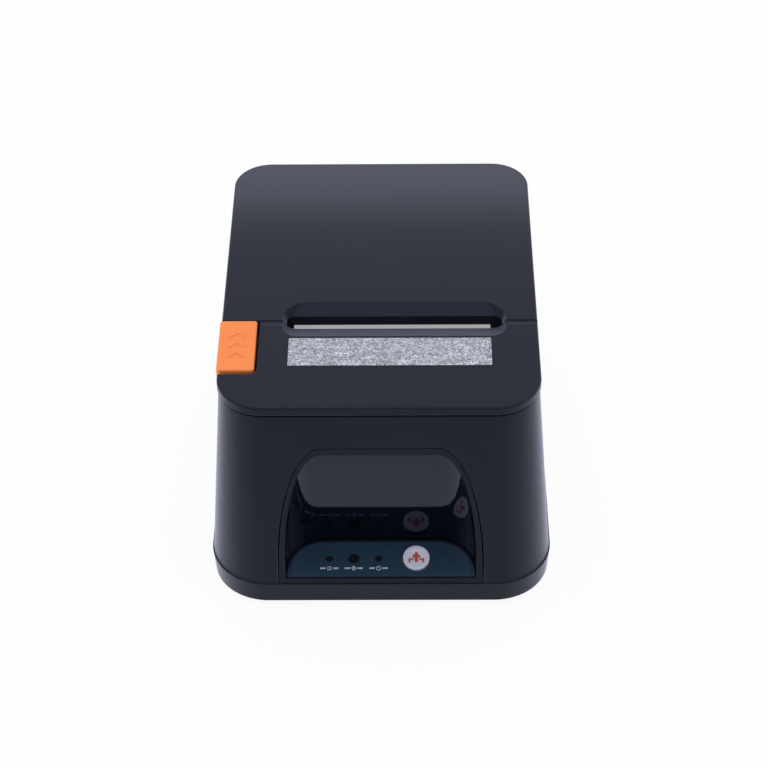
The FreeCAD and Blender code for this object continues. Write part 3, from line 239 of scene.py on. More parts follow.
@dataclass(frozen=True)
class MouldedPlastic(Finish):
    """Plastic from a textured or satin mould: an even grain, slow cloudiness and soft edges, paler as rubbed wear and a
    painted highlight.

    Attributes:
        grain_mm: Width of the mould's grain.
        depth_mm: Depth of the grain.
        cloud_mm: Width of the slow changes in colour and sheen.
        edge_rub_and_highlight: Colour of the edges, as sRGB hex, partly rubbed wear and partly a painted highlight.
        edge_rub_and_highlight_share: Share of that colour on the sharpest edges.
        sharp: How far, as a cosine, the softened normal leaves the flat one on those edges.
    """

    grain_mm: float = 0.7
    depth_mm: float = 0.012
    cloud_mm: float = 30.0
    edge_rub_and_highlight: str = "#4a4a52"
    edge_rub_and_highlight_share: float = 0.35
    sharp: float = 0.8

    def pattern(self, tree: Tree, shader: Node) -> None:
        """Grain in the normal, clouds in colour and roughness, rubbed wear and a painted highlight along the edges.

        Args:
            tree: The material's node tree.
            shader: Principled node that the texture drives.
        """
        place = self.place(tree)
        grain = add_node(tree, "ShaderNodeTexNoise", {
            "Vector": place, "Scale": per_metre(self.grain_mm), "Detail": 2.0, "Roughness": 0.55})
        cloud = add_node(tree, "ShaderNodeTexNoise", {
            "Vector": place, "Scale": per_metre(self.cloud_mm), "Detail": 5.0, "Roughness": 0.6})
        self.vary(tree, shader, cloud.outputs["Fac"])
        soft = self.edges(tree)
        bump = add_node(tree, "ShaderNodeBump", {
            "Height": grain.outputs["Fac"], "Distance": self.depth_mm * MM, "Normal": soft.outputs[0]})
        tree.links.new(bump.outputs[0], shader.inputs["Normal"])
        self.rub_and_highlight_edges(tree, shader, soft)

    def rub_and_highlight_edges(self, tree: Tree, shader: Node, soft: Node) -> None:
        """Lighten the colour where the softened normal leaves the flat one, as rubbed wear and a painted highlight.

        Args:
            tree: The material's node tree.
            shader: Principled node whose colour is already varied.
            soft: Node that gives the softened normal.
        """
        flat = add_node(tree, "ShaderNodeNewGeometry", {})
        match = add_node(tree, "ShaderNodeVectorMath", {
            0: soft.outputs[0], 1: flat.outputs["Normal"]}, operation="DOT_PRODUCT")
        # Painted highlight and rubbed wear: edges take the paler colour under any light.
        worn_and_lit = add_node(tree, "ShaderNodeMapRange", {
            "Value": match.outputs["Value"], "From Min": 1.0, "From Max": self.sharp, "To Max": self.edge_rub_and_highlight_share})
        plain = shader.inputs["Base Color"].links[0].from_socket
        blend = add_node(tree, "ShaderNodeMix", {
            0: worn_and_lit.outputs[0], MIX_A: plain, MIX_B: linear(self.edge_rub_and_highlight)}, data_type="RGBA")
        tree.links.new(blend.outputs[MIX_RESULT], shader.inputs["Base Color"])


@dataclass(frozen=True)
class PolishedPlastic(Finish):
    """Plastic from a polished mould or under a clear film: mirror gloss with a faint wave and fine smears.

    Attributes:
        wave_mm: Length of the slow wave left by shrinkage.
        depth_mm: Height of the wave.
        smear_mm: Width of the wiped smears.
        wipe: Stretch of the smears on each axis; they run up and down, as a cloth goes.
    """

    wave_mm: float = 16.0
    depth_mm: float = 0.006
    smear_mm: float = 5.0
    wipe: Triple = (1.0, 0.35, 0.35)

    def pattern(self, tree: Tree, shader: Node) -> None:
        """A slow wave in the normal and smears in colour and roughness.

        Args:
            tree: The material's node tree.
            shader: Principled node that the texture drives.
        """
        wave = add_node(tree, "ShaderNodeTexNoise", {
            "Vector": self.place(tree), "Scale": per_metre(self.wave_mm), "Detail": 1.0})
        smear = add_node(tree, "ShaderNodeTexNoise", {
            "Vector": self.place(tree, self.wipe), "Scale": per_metre(self.smear_mm), "Detail": 4.0, "Distortion": 0.4})
        self.vary(tree, shader, smear.outputs["Fac"])
        bump = add_node(tree, "ShaderNodeBump", {
            "Height": wave.outputs["Fac"], "Distance": self.depth_mm * MM, "Normal": self.edges(tree).outputs[0]})
        tree.links.new(bump.outputs[0], shader.inputs["Normal"])


@dataclass(frozen=True)
class BrushedMetal(Finish):
    """Metal with fine parallel marks, which draw its highlights out across them.

    Attributes:
        stroke: Axis that the marks run along.
        mark_mm: Width of one mark; finer ones would not show in the picture.
        run_mm: Length of one mark.
        depth_mm: Depth of the marks.
    """

    stroke: Stroke = Stroke.ACROSS
    mark_mm: float = 0.35
    run_mm: float = 18.0
    depth_mm: float = 0.004

    def pattern(self, tree: Tree, shader: Node) -> None:
        """Stretched noise in colour, roughness and normal.

        Args:
            tree: The material's node tree.
            shader: Principled node that the texture drives.
        """
        ratio = self.mark_mm / self.run_mm
        stretch = tuple(ratio if on else 1.0 for on in self.stroke.value)
        marks = add_node(tree, "ShaderNodeTexNoise", {
            "Vector": self.place(tree, stretch), "Scale": per_metre(self.mark_mm), "Detail": 3.0})
        self.vary(tree, shader, marks.outputs["Fac"])
        bump = add_node(tree, "ShaderNodeBump", {
            "Height": marks.outputs["Fac"], "Distance": self.depth_mm * MM, "Normal": self.edges(tree).outputs[0]})
        tree.links.new(bump.outputs[0], shader.inputs["Normal"])


@dataclass(frozen=True)
class SpangledSheet(Finish):
    """Hot-dip galvanised sheet: a patchwork of zinc crystals, each with its own brightness.

    Attributes:
        crystal_mm: Width of one zinc crystal.
    """

    crystal_mm: float = 7.0

    def pattern(self, tree: Tree, shader: Node) -> None:
        """Voronoi cells in colour and roughness.

        Args:
            tree: The material's node tree.
            shader: Principled node that the texture drives.
        """
        cells = add_node(tree, "ShaderNodeTexVoronoi", {
            "Vector": self.place(tree), "Scale": per_metre(self.crystal_mm)})
        parts = add_node(tree, "ShaderNodeSeparateColor", {"Color": cells.outputs["Color"]})
        self.vary(tree, shader, parts.outputs[0])
        tree.links.new(self.edges(tree).outputs[0], shader.inputs["Normal"])


@dataclass(frozen=True)
class SpeckledFoil(Finish):
    """Metallised polyester sticker: countless tilted facets that glitter between dark grey and white.

    Attributes:
        facet_mm: Width of one facet, drawn as wide as one picture dot so that the glitter shows.
        tilt_mm: Height difference between facets.
        tilt_share: Share of that tilt that reaches the shading.
        streak_mm: Width of the slow streaks.
        streak_stretch: Stretch of the streaks on each axis; they run across.
        haze: Brightness that the darkest facets keep.
    """

    facet_mm: float = 0.55
    tilt_mm: float = 0.05
    tilt_share: float = 0.6
    streak_mm: float = 2.4
    streak_stretch: Triple = (0.4, 1.0, 1.0)
    haze: float = 0.15

    def pattern(self, tree: Tree, shader: Node) -> None:
        """Random facets in colour, roughness and normal, with slow streaks over them.

        Args:
            tree: The material's node tree.
            shader: Principled node that the texture drives.
        """
        facets = add_node(tree, "ShaderNodeTexVoronoi", {
            "Vector": self.place(tree), "Scale": per_metre(self.facet_mm)})
        parts = add_node(tree, "ShaderNodeSeparateColor", {"Color": facets.outputs["Color"]})
        streaks = add_node(tree, "ShaderNodeTexNoise", {
            "Vector": self.place(tree, self.streak_stretch), "Scale": per_metre(self.streak_mm), "Detail": 3.0})
        mixed = add_node(tree, "ShaderNodeMath", {
            0: parts.outputs[0], 1: streaks.outputs["Fac"], 2: self.haze}, operation="MULTIPLY_ADD")
        self.vary(tree, shader, mixed.outputs[0])
        bump = add_node(tree, "ShaderNodeBump", {
            "Height": parts.outputs[1], "Distance": self.tilt_mm * MM, "Strength": self.tilt_share})
        tree.links.new(bump.outputs[0], shader.inputs["Normal"])


@dataclass(frozen=True)
class LacqueredBoard(Finish):
    """Circuit board under solder mask: copper runs show through as paler lines.

    Attributes:
        pitch_mm: Spacing of the copper runs.
        run_share: Width of a run, as a share of the spacing.
        copper: How much copper shows through on two kinds of bare field and on the runs.
    """

    pitch_mm: float = 3.2
    run_share: float = 0.06
    copper: Triple = (0.0, 0.12, 1.0)

    def pattern(self, tree: Tree, shader: Node) -> None:
        """Brick joints stand for copper runs in colour and roughness.

        Args:
            tree: The material's node tree.
            shader: Principled node that the texture drives.
        """
        even, odd, joint = ((grey, grey, grey, 1.0) for grey in self.copper)
        runs = add_node(tree, "ShaderNodeTexBrick", {
            "Vector": self.place(tree), "Scale": per_metre(self.pitch_mm), "Mortar Size": self.run_share,
            "Color1": even, "Color2": odd, "Mortar": joint})
        parts = add_node(tree, "ShaderNodeSeparateColor", {"Color": runs.outputs["Color"]})
        self.vary(tree, shader, parts.outputs[0])


# Matt ABS from a spark-eroded mould: nearly black, faintly blue, with a fine grain that greys under flat light. Its
# paler edge colour is partly rubbed wear and partly a painted highlight.
CASE_ABS = MouldedPlastic("abs_spark_textured_charcoal", "#181a22", "#1c1e26", 0.3, 0.04, gloss=0.1, bloom=0.72,
                          cast="#d9defb", edge_rub_and_highlight="#3d3f4b")
# Satin ABS of the same colour: a finer grain, so the frame round the scoop looks a shade smoother.
BEZEL_ABS = MouldedPlastic("abs_satin_charcoal", "#151720", "#1a1c25", 0.34, 0.04, gloss=0.14, bloom=0.08,
                           cast="#d9defb", grain_mm=0.5, depth_mm=0.006, edge_rub_and_highlight="#343845")
# Polished black acrylic: a dark mirror that shows the floor and the ledge.
WINDOW_ACRYLIC = PolishedPlastic("acrylic_polished_black", "#03050b", "#05070e", 0.05, 0.02, ior=1.49, gloss=0.25,
                                 cast="#b0c2ff")
# Polyester film, reverse printed: deep teal under a clear gloss.
FILM_POLYESTER = PolishedPlastic("polyester_film_printed_teal", "#1b3140", "#203847", 0.16, 0.04, ior=1.57, gloss=0.3,
                                 cast="#d2deff")
# Smoked polycarbonate light guides: dark and glassy until lit.
LAMP_POLYCARBONATE = PolishedPlastic("polycarbonate_smoked", "#04050a", "#080910", 0.08, 0.03, ior=1.58, gloss=0.15)
# Satin ABS in signal orange: a warm even colour, paler along the edges as rubbed wear and a painted highlight.
KEY_ABS = MouldedPlastic("abs_satin_orange", "#f0833d", "#f58b46", 0.42, 0.05, gloss=0.35, grain_mm=0.5,
                         depth_mm=0.006, cloud_mm=12.0, edge_rub_and_highlight="#ffb27a", edge_rub_and_highlight_share=0.5)
# Gloss ABS in cool white, a little blue as optical brighteners make it.
FEED_ABS = PolishedPlastic("abs_gloss_white", "#d9dae6", "#cfd0de", 0.25, 0.05)
# Pad-printing ink: flat red with the slight unevenness of the pad.
SYMBOL_INK = MouldedPlastic("pad_print_ink_red", "#b5442e", "#c2523a", 0.5, 0.05, grain_mm=0.3, depth_mm=0.004,
                            cloud_mm=2.0, edge_rub_and_highlight_share=0.0)
# Screen-printing ink on the film: pale grey, thin at its edges.
ICON_INK = MouldedPlastic("screen_print_ink_pale", "#aab4bc", "#b8c1c9", 0.5, 0.05, grain_mm=0.3, depth_mm=0.004,
                          cloud_mm=2.0, edge_rub_and_highlight_share=0.0)
# Metallised polyester label: silver glitter.
LABEL_FOIL = SpeckledFoil("polyester_foil_speckled", "#1e2028", "#e5e8f3", 0.42, 0.12, metallic=0.75)
# Moulded rubber: dull black that takes dust.
FOOT_RUBBER = MouldedPlastic("rubber_moulded_black", "#1c1c1c", "#262625", 0.85, 0.06, gloss=0.2, grain_mm=0.9,
                             depth_mm=0.03, cloud_mm=8.0, edge_rub_and_highlight="#3a3a38")
# Ground rubber sleeve: soft black with fine grinding rings.
PLATEN_RUBBER = MouldedPlastic("rubber_ground_black", "#222223", "#2b2b2c", 0.75, 0.06, gloss=0.25, grain_mm=0.4,
                               depth_mm=0.02, cloud_mm=6.0, edge_rub_and_highlight="#3d3d3d")
# Zinc-plated screw: pale blue-grey with turned marks.
SCREW_ZINC = BrushedMetal("steel_zinc_plated", "#a8abb0", "#c4c6ca", 0.38, 0.08, metallic=1.0, edge_mm=0.15)
# Galvanised sheet: zinc crystals.
FRAME_SHEET = SpangledSheet("steel_galvanised_sheet", "#9da1a5", "#c2c5c8", 0.42, 0.08, metallic=1.0)
# Spring strip: rolled, a little darker and bluer than the sheet.
SPRING_STRIP = BrushedMetal("steel_spring_rolled", "#8a8d94", "#a5a8ae", 0.32, 0.06, metallic=1.0,
                            stroke=Stroke.ALONG, edge_mm=0.1)
# Ground bar: bright, with fine rings.
PIN_STEEL = BrushedMetal("steel_ground_bar", "#b4b6b9", "#cfd1d3", 0.24, 0.06, metallic=1.0, stroke=Stroke.UPRIGHT,
                         edge_mm=0.15)
# Hardened blade: ground across the edge.
BLADE_STEEL = BrushedMetal("steel_ground_blade", "#b8babd", "#d3d5d7", 0.26, 0.06, metallic=1.0, stroke=Stroke.ALONG,
                           edge_mm=0.1)
# Stainless tear bar: brushed along its length, warm grey under studio light.
TEAR_STEEL = BrushedMetal("stainless_brushed", "#928f8d", "#a19e9b", 0.42, 0.08, metallic=1.0, edge_mm=0.1)
# Plated motor can: drawn steel, satin nickel.
MOTOR_CAN = BrushedMetal("steel_drawn_nickel_plated", "#8f9195", "#a9abae", 0.34, 0.06, metallic=1.0)
# Extruded aluminium: soft silver with die lines along the bar.
SINK_ALLOY = BrushedMetal("aluminium_extruded", "#b9bcc0", "#d2d4d7", 0.4, 0.07, metallic=1.0, run_mm=60.0)
# Glazed ceramic of the print head: ivory and glassy.
HEAD_CERAMIC = PolishedPlastic("alumina_glazed", "#d8d2c0", "#e2dccb", 0.2, 0.04, ior=1.62)
# Resistor paste under the glaze: a dark brown line.
HEATER_PASTE = PolishedPlastic("resistor_paste_glazed", "#2b1d16", "#3a281e", 0.2, 0.05)
# Moulded nylon: off-white, waxy and a little uneven.
GEAR_NYLON = MouldedPlastic("nylon_moulded_natural", "#d6d1c1", "#e0dccd", 0.45, 0.06, gloss=0.4, grain_mm=0.5,
                            depth_mm=0.008, cloud_mm=6.0, edge_rub_and_highlight="#f0ede2", edge_mm=0.12)
# Acetal bush: dense black with a slippery sheen.
BUSH_ACETAL = MouldedPlastic("acetal_moulded_black", "#1a1a1b", "#222223", 0.3, 0.04, grain_mm=0.4, depth_mm=0.004,
                             edge_mm=0.15)
# Glass-filled ABS of the hidden mouldings: black, slightly streaky.
INNER_ABS = MouldedPlastic("abs_glass_filled_black", "#141517", "#1c1d20", 0.5, 0.06, gloss=0.2, cloud_mm=14.0)
# Small sensor housing: black polycarbonate.
SENSOR_BLACK = PolishedPlastic("polycarbonate_black", "#101012", "#17171a", 0.22, 0.05)
# Glass-epoxy board under green solder mask.
BOARD_EPOXY = LacqueredBoard("glass_epoxy_green_mask", "#0d3a20", "#2a6a3c", 0.28, 0.06, ior=1.55)
# Rocker and switch housing: gloss black nylon.
SWITCH_NYLON = PolishedPlastic("nylon_gloss_black", "#0e0e10", "#151518", 0.24, 0.05)
# Socket bodies: black glass-filled nylon, duller than the switch.
SOCKET_NYLON = MouldedPlastic("nylon_glass_filled_black", "#151517", "#1d1d20", 0.48, 0.06, gloss=0.35, grain_mm=0.5)
# Socket shields: tin-plated sheet, soft and bright.
SOCKET_TIN = BrushedMetal("steel_tin_plated", "#b5b6b5", "#cccdcc", 0.36, 0.08, metallic=1.0, stroke=Stroke.ALONG,
                          edge_mm=0.15)
# Contact springs: gold-flashed bronze.
CONTACT_GOLD = BrushedMetal("bronze_gold_flashed", "#c9a04e", "#dcb766", 0.3, 0.06, metallic=1.0, stroke=Stroke.ALONG,
                            edge_mm=0.05)
# Hot-stamped white marks on the rocker.
MARK_INK = MouldedPlastic("stamped_ink_white", "#d8d8d6", "#e4e4e2", 0.55, 0.05, grain_mm=0.3, depth_mm=0.004,
                          cloud_mm=2.0, edge_rub_and_highlight_share=0.0)


def flat_grid(bm: Mesh, centre: Triple, size: Pair, rows: int = 1, columns: int = 1) -> Verts:
    """Add a flat grid of faces, facing up.

    Args:
        bm: Mesh that gets the faces.
        centre: Middle as (x, y, z) in millimetres.
        size: Width and height in millimetres.
        rows: Faces up the height.
        columns: Faces across the width.

    Returns:
        The vertices of the grid.
    """
    spot = Matrix.Translation(Vector(centre) * MM) @ Matrix.Diagonal((size[0] * MM, size[1] * MM, 1, 1))
    return bmesh.ops.create_grid(bm, x_segments=columns, y_segments=rows, size=0.5, matrix=spot)["verts"]


def rectangle(bm: Mesh, centre: Pair, size: Pair, corner: float = 0.0) -> Verts:
    """Add a flat rectangle, with rounded corners if asked, facing up.

    Args:
        bm: Mesh that gets the face.
        centre: Middle as (x, y) in millimetres.
        size: Width and height in millimetres.
        corner: Corner radius in millimetres.

    Returns:
        The vertices of the rectangle.
    """
    made = flat_grid(bm, (*centre, 0.0), size)
    if corner <= 0:
        return made
    return bmesh.ops.bevel(bm, geom=made, offset=corner * MM, segments=CORNER_STEPS, profile=0.5, affect="VERTICES",
                           material=-1)["verts"]


def hollow(bm: Mesh, outline: Verts, wall: float) -> Faces:
    """Cut the middle out of a flat face and keep a band along its rim.

    Args:
        bm: Mesh that holds the face.
        outline: Vertices of the face.
        wall: Width of the band in millimetres.

    Returns:
        The faces of the band.
    """
    whole = list(outline[0].link_faces)
    band = bmesh.ops.inset_region(
        bm, faces=whole, thickness=wall * MM, use_boundary=True, use_even_offset=True)["faces"]
    bmesh.ops.delete(bm, geom=whole, context="FACES")
    return band


def ring(bm: Mesh, centre: Pair, outer: float, inner: float, sides: int = CIRCLE_SIDES) -> Faces:
    """Add a flat ring, facing up.

    Args:
        bm: Mesh that gets the faces.
        centre: Middle as (x, y) in millimetres.
        outer: Outer radius in millimetres.
        inner: Inner radius in millimetres.
        sides: Corners of the ring.

    Returns:
        The faces of the ring.
    """
    spot = Matrix.Translation(Vector((*centre, 0.0)) * MM)
    made = bmesh.ops.create_circle(bm, cap_ends=True, segments=sides, radius=outer * MM, matrix=spot)["verts"]
    return hollow(bm, made, outer - inner)


def thicken(bm: Mesh, height: float) -> None:
    """Raise every flat face into a closed prism.

    Args:
        bm: Mesh of flat faces in the XY plane.
        height: Thickness in millimetres.
    """
    raised = bmesh.ops.extrude_face_region(bm, geom=bm.faces[:], use_keep_orig=True)["geom"]
    top = [item for item in raised if isinstance(item, bmesh.types.BMVert)]
    bmesh.ops.translate(bm, verts=top, vec=(0, 0, height * MM))


def finish_piece(name: str, bm: Mesh, finish: Finish, body: Body) -> bpy.types.Object:
    """Turn a mesh under construction into a piece that rides on a body.

    Args:
        name: Name of the piece.
        bm: Mesh in place, in the printer's frame; it is freed.
        finish: Finish that the piece wears.
        body: Body that carries the piece.

    Returns:
        The new object.
    """
    bmesh.ops.recalc_face_normals(bm, faces=bm.faces[:])
    mesh = bpy.data.meshes.new(name)
    bm.to_mesh(mesh)
    bm.free()
    mesh.materials.append(finish.material())
    piece = bpy.data.objects.new(name, mesh)
    bpy.context.scene.collection.objects.link(piece)
    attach(piece, body.value)
    LOG.info("%s: %d faces in %s on %s", name, len(mesh.polygons), finish.name, body.value)
    return piece


class SubAssembly:
    """A group of solids that are dressed together, with the details that ride on them."""

    def finishes(self) -> dict[Finish, tuple[str, ...]]:
        """Name the nodes that wear each finish.

        Returns:
            Names of the nodes, by finish.
        """
        return {}

    def details(self) -> None:
        """Build the pieces that the solids leave to the looks; a plain group has none."""

    def make(self) -> None:
        """Dress the solids and build the details."""
        for finish, nodes in self.finishes().items():
            for name in nodes:
                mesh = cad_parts[name].data
                mesh.materials.clear()
                mesh.materials.append(finish.material())
                LOG.info("%s wears %s", name, finish.name)
        self.details()


@dataclass
class Casing(SubAssembly):
    """Outer mouldings, feet and screws, with the bare foil label on the front cover.

    Attributes:
        label_mm: Width and depth of the label.
        label_centre_mm: Its middle, as (x, y).
        label_thick_mm: Thickness of the foil.
        label_corner_mm: Corner radius of the foil.
    """

    label_mm: Pair = (87.5, 18.1)
    label_centre_mm: Pair = (4.55, -50.15)
    label_thick_mm: float = 0.1
    label_corner_mm: float = 0.5

    def finishes(self) -> dict[Finish, tuple[str, ...]]:
        """Case ABS outside, rubber and zinc underneath, steel in the slot.

        Returns:
            Names of the nodes, by finish.
        """
        return {
            CASE_ABS: ("base_pan", "body_shell", "front_cover", "paper_lid"),
            FOOT_RUBBER: ("rubber_feet",),
            SCREW_ZINC: ("base_screws",),
            TEAR_STEEL: ("tear_bar",),
            PIN_STEEL: ("hinge_pins",),
        }

    def details(self) -> None:
        """Stick the label flat on the front cover."""
        bm = bmesh.new()
        rectangle(bm, self.label_centre_mm, self.label_mm, self.label_corner_mm)
        thicken(bm, self.label_thick_mm)
        cover_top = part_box("front_cover")[1].z
        bmesh.ops.translate(bm, verts=bm.verts[:], vec=(0, 0, cover_top))
        finish_piece("foil_label", bm, LABEL_FOIL, Body.HOUSING)


@dataclass
class FrontScoop(SubAssembly):
    """Scooped window with its frame, and the sloping ledge with lamps, marks and the feed button.

    Attributes:
        edge_mm: Middle of the ledge's front edge.
        slope_deg: Rise of the ledge towards the rear.
        film_mm: Thickness of the film on the ledge.
        lamps_mm: Places of the lamps across the ledge.
        marks_s_mm: Distance of the printed marks from the front edge, up the ledge.
        ink_mm: Thickness of the print.
        bar_mm: Width and height of the bars beside a mark.
        bar_reach_mm: Distance of a bar's middle from the mark's middle.
        sheet_mm: Width, height and line width of the sheet mark.
        lozenge_mm: Outer and inner radius of the lozenge mark.
        standby_mm: Radius and line width of the standby mark.
        button_mm: Place of the feed button, across and up the ledge.
        button_top_mm: Height of the button's rim over the ledge.
        dish_mm: Radius and depth of the button's dished top.
        arrow_mm: Half width, base and tip of the arrow's head on the button.
        stem_mm: Middle and size of the arrow's stem.
        lip_mm: Middle and size of one lip of the slot that the arrow rises from.
        leg_mm: Middle and size of the leg at the lip's outer end.
    """

    edge_mm: Triple = (0.0, -90.834, 17.2)
    slope_deg: float = 16.789
    film_mm: float = 0.35
    lamps_mm: Triple = (-23.0, -12.1, -1.0)
    marks_s_mm: float = 4.9
    ink_mm: float = 0.03
    bar_mm: Pair = (2.4, 0.8)
    bar_reach_mm: float = 2.9
    sheet_mm: Triple = (1.7, 1.8, 0.35)
    lozenge_mm: Pair = (1.25, 0.75)
    standby_mm: Pair = (1.1, 0.36)
    button_mm: Pair = (15.8, 9.6)
    button_top_mm: float = 1.6
    dish_mm: Pair = (24.0, 0.5)
    arrow_mm: Triple = (2.2, 0.2, 3.2)
    stem_mm: tuple[Pair, Pair] = ((0.0, -1.0), (1.5, 2.4))
    lip_mm: tuple[Pair, Pair] = ((2.35, -0.75), (2.3, 0.9))
    leg_mm: tuple[Pair, Pair] = ((3.05, -1.8), (0.9, 1.2))

    def finishes(self) -> dict[Finish, tuple[str, ...]]:
        """Satin frame, gloss scoop, printed film, smoked lamps and a white button.

        Returns:
            Names of the nodes, by finish.
        """
        return {
            BEZEL_ABS: ("front_bezel",),
            WINDOW_ACRYLIC: ("scoop_window",),
            FILM_POLYESTER: ("control_overlay",),
            LAMP_POLYCARBONATE: ("indicator_lenses",),
            FEED_ABS: ("feed_button",),
            BOARD_EPOXY: ("panel_board",),
        }

    def ledge(self, height_mm: float) -> Matrix:
        """Give the matrix from ledge axes (across, up the slope, out) to the printer's frame.

        Args:
            height_mm: Height over the ledge's own surface.

        Returns:
            The matrix, in metres.
        """
        spot = Matrix.Translation(Vector(self.edge_mm) * MM)
        turn = Matrix.Rotation(math.radians(self.slope_deg), 4, "X")
        return spot @ turn @ Matrix.Translation((0, 0, height_mm * MM))

    def details(self) -> None:
        """Print the marks under the lamps and the symbol on the button."""
        self.lamp_marks()
        self.feed_symbol()

    def lamp_marks(self) -> None:
        """Print three small pictures, a sheet, a lozenge and a standby ring, each between two thin bars."""
        bm = bmesh.new()
        for x in self.lamps_mm:
            for side in (-1, 1):
                rectangle(bm, (x + side * self.bar_reach_mm, self.marks_s_mm), self.bar_mm)
        sheet_x, fault_x, power_x = self.lamps_mm
        width, height, line = self.sheet_mm
        hollow(bm, rectangle(bm, (sheet_x, self.marks_s_mm), (width, height)), line)
        ring(bm, (fault_x, self.marks_s_mm), *self.lozenge_mm, sides=4)
        self.standby_mark(bm, (power_x, self.marks_s_mm), *self.standby_mm)
        thicken(bm, self.ink_mm)
        bmesh.ops.transform(bm, matrix=self.ledge(self.film_mm), verts=bm.verts[:])
        finish_piece("lamp_marks", bm, ICON_INK, Body.HOUSING)

    def standby_mark(self, bm: Mesh, centre: Pair, radius: float, stroke: float) -> None:
        """Add a flat ring that is open at the top, with a bar in the gap.

        Args:
            bm: Mesh that gets the faces.
            centre: Middle as (x, y) in millimetres.
            radius: Outer radius in millimetres.
            stroke: Width of ring and bar in millimetres.
        """
        middle = Vector((*centre, 0)) * MM
        half_gap, bar_rise = 1.2 * stroke * MM, 0.7 * radius
        opening = []
        for face in ring(bm, centre, radius, radius - stroke):
            away = face.calc_center_median() - middle
            if away.y > 0 and abs(away.x) < half_gap:
                opening.append(face)
        bmesh.ops.delete(bm, geom=opening, context="FACES")
        rectangle(bm, (centre[0], centre[1] + bar_rise), (stroke, radius))

    def feed_symbol(self) -> None:
        """Print a plain arrow rising out of a slot, laid into the button's dish."""
        bm = bmesh.new()
        rectangle(bm, *self.stem_mm)
        for side in (-1, 1):
            for (x, s), size in (self.lip_mm, self.leg_mm):
                rectangle(bm, (side * x, s), size)
        bmesh.ops.subdivide_edges(bm, edges=bm.edges[:], cuts=3, use_grid_fill=True)
        self.arrow_head(bm, *self.arrow_mm)
        thicken(bm, self.ink_mm)
        radius, depth = (size * MM for size in self.dish_mm)
        for vert in bm.verts:
            vert.co.z += radius - depth - math.sqrt(radius ** 2 - vert.co.xy.length_squared)
        x, s = self.button_mm
        place = self.ledge(self.button_top_mm) @ Matrix.Translation((x * MM, s * MM, 0))
        bmesh.ops.transform(bm, matrix=place, verts=bm.verts[:])
        finish_piece("feed_symbol", bm, SYMBOL_INK, Body.FEED_KEY)

    def arrow_head(self, bm: Mesh, half_mm: float, low_mm: float, high_mm: float) -> None:
        """Add a flat triangle that points up, drawn in from a grid.

        Args:
            bm: Mesh that gets the faces.
            half_mm: Half of its width.
            low_mm: Place of its base.
            high_mm: Place of its tip.
        """
        rise = high_mm - low_mm
        head = flat_grid(bm, (0.0, low_mm + rise / 2, 0.0), (2 * half_mm, rise), rows=4, columns=4)
        for vert in head:
            vert.co.x *= (high_mm * MM - vert.co.y) / (rise * MM)
        bmesh.ops.remove_doubles(bm, verts=head, dist=MERGE_MM * MM)


@dataclass
class ReleaseAndLatch(SubAssembly):
    """Orange release button with the spring, hooks and shaft that it works.

    Attributes:
        leaf_x_mm: Left and right edge of the leaf spring under the button.
        leaf_y_mm: Its fixed end, its bend and its tip.
        leaf_z_mm: Height of the lower face of its fixed end.
        leaf_rise: Slope from the bend to the tip.
        leaf_thick_mm: Thickness of the strip.
        leaf_keep: Share of its height that is left when the button is down. Not used.
    """

    leaf_x_mm: Pair = (-65.0, -61.5)
    leaf_y_mm: Triple = (-62.6, -58.0, -37.0)
    leaf_z_mm: float = 92.0
    leaf_rise: float = 0.157
    leaf_thick_mm: float = 0.6
    leaf_keep: float = 0.2

    def finishes(self) -> dict[Finish, tuple[str, ...]]:
        """Orange ABS on spring strip, sheet and bar.

        Returns:
            Names of the nodes, by finish.
        """
        return {
            KEY_ABS: ("release_button",),
            SPRING_STRIP: ("button_spring",),
            FRAME_SHEET: ("latch_hooks",),
            PIN_STEEL: ("latch_shaft",),
        }

    def details(self) -> None:
        """Bend the leaf spring under the button."""
        (left, right), (fixed, bend, tip) = self.leaf_x_mm, self.leaf_y_mm
        middle_mm = Vector(((left + right) / 2, (fixed + tip) / 2, self.leaf_z_mm))
        bm = bmesh.new()
        flat_grid(bm, middle_mm, (right - left, tip - fixed), rows=11)
        for vert in bm.verts:
            vert.co.z += max(0.0, vert.co.y - bend * MM) * self.leaf_rise
        thicken(bm, self.leaf_thick_mm)
        leaf = finish_piece("button_leaf", bm, SPRING_STRIP, Body.HOUSING)
        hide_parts("button_spring")
        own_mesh(leaf)


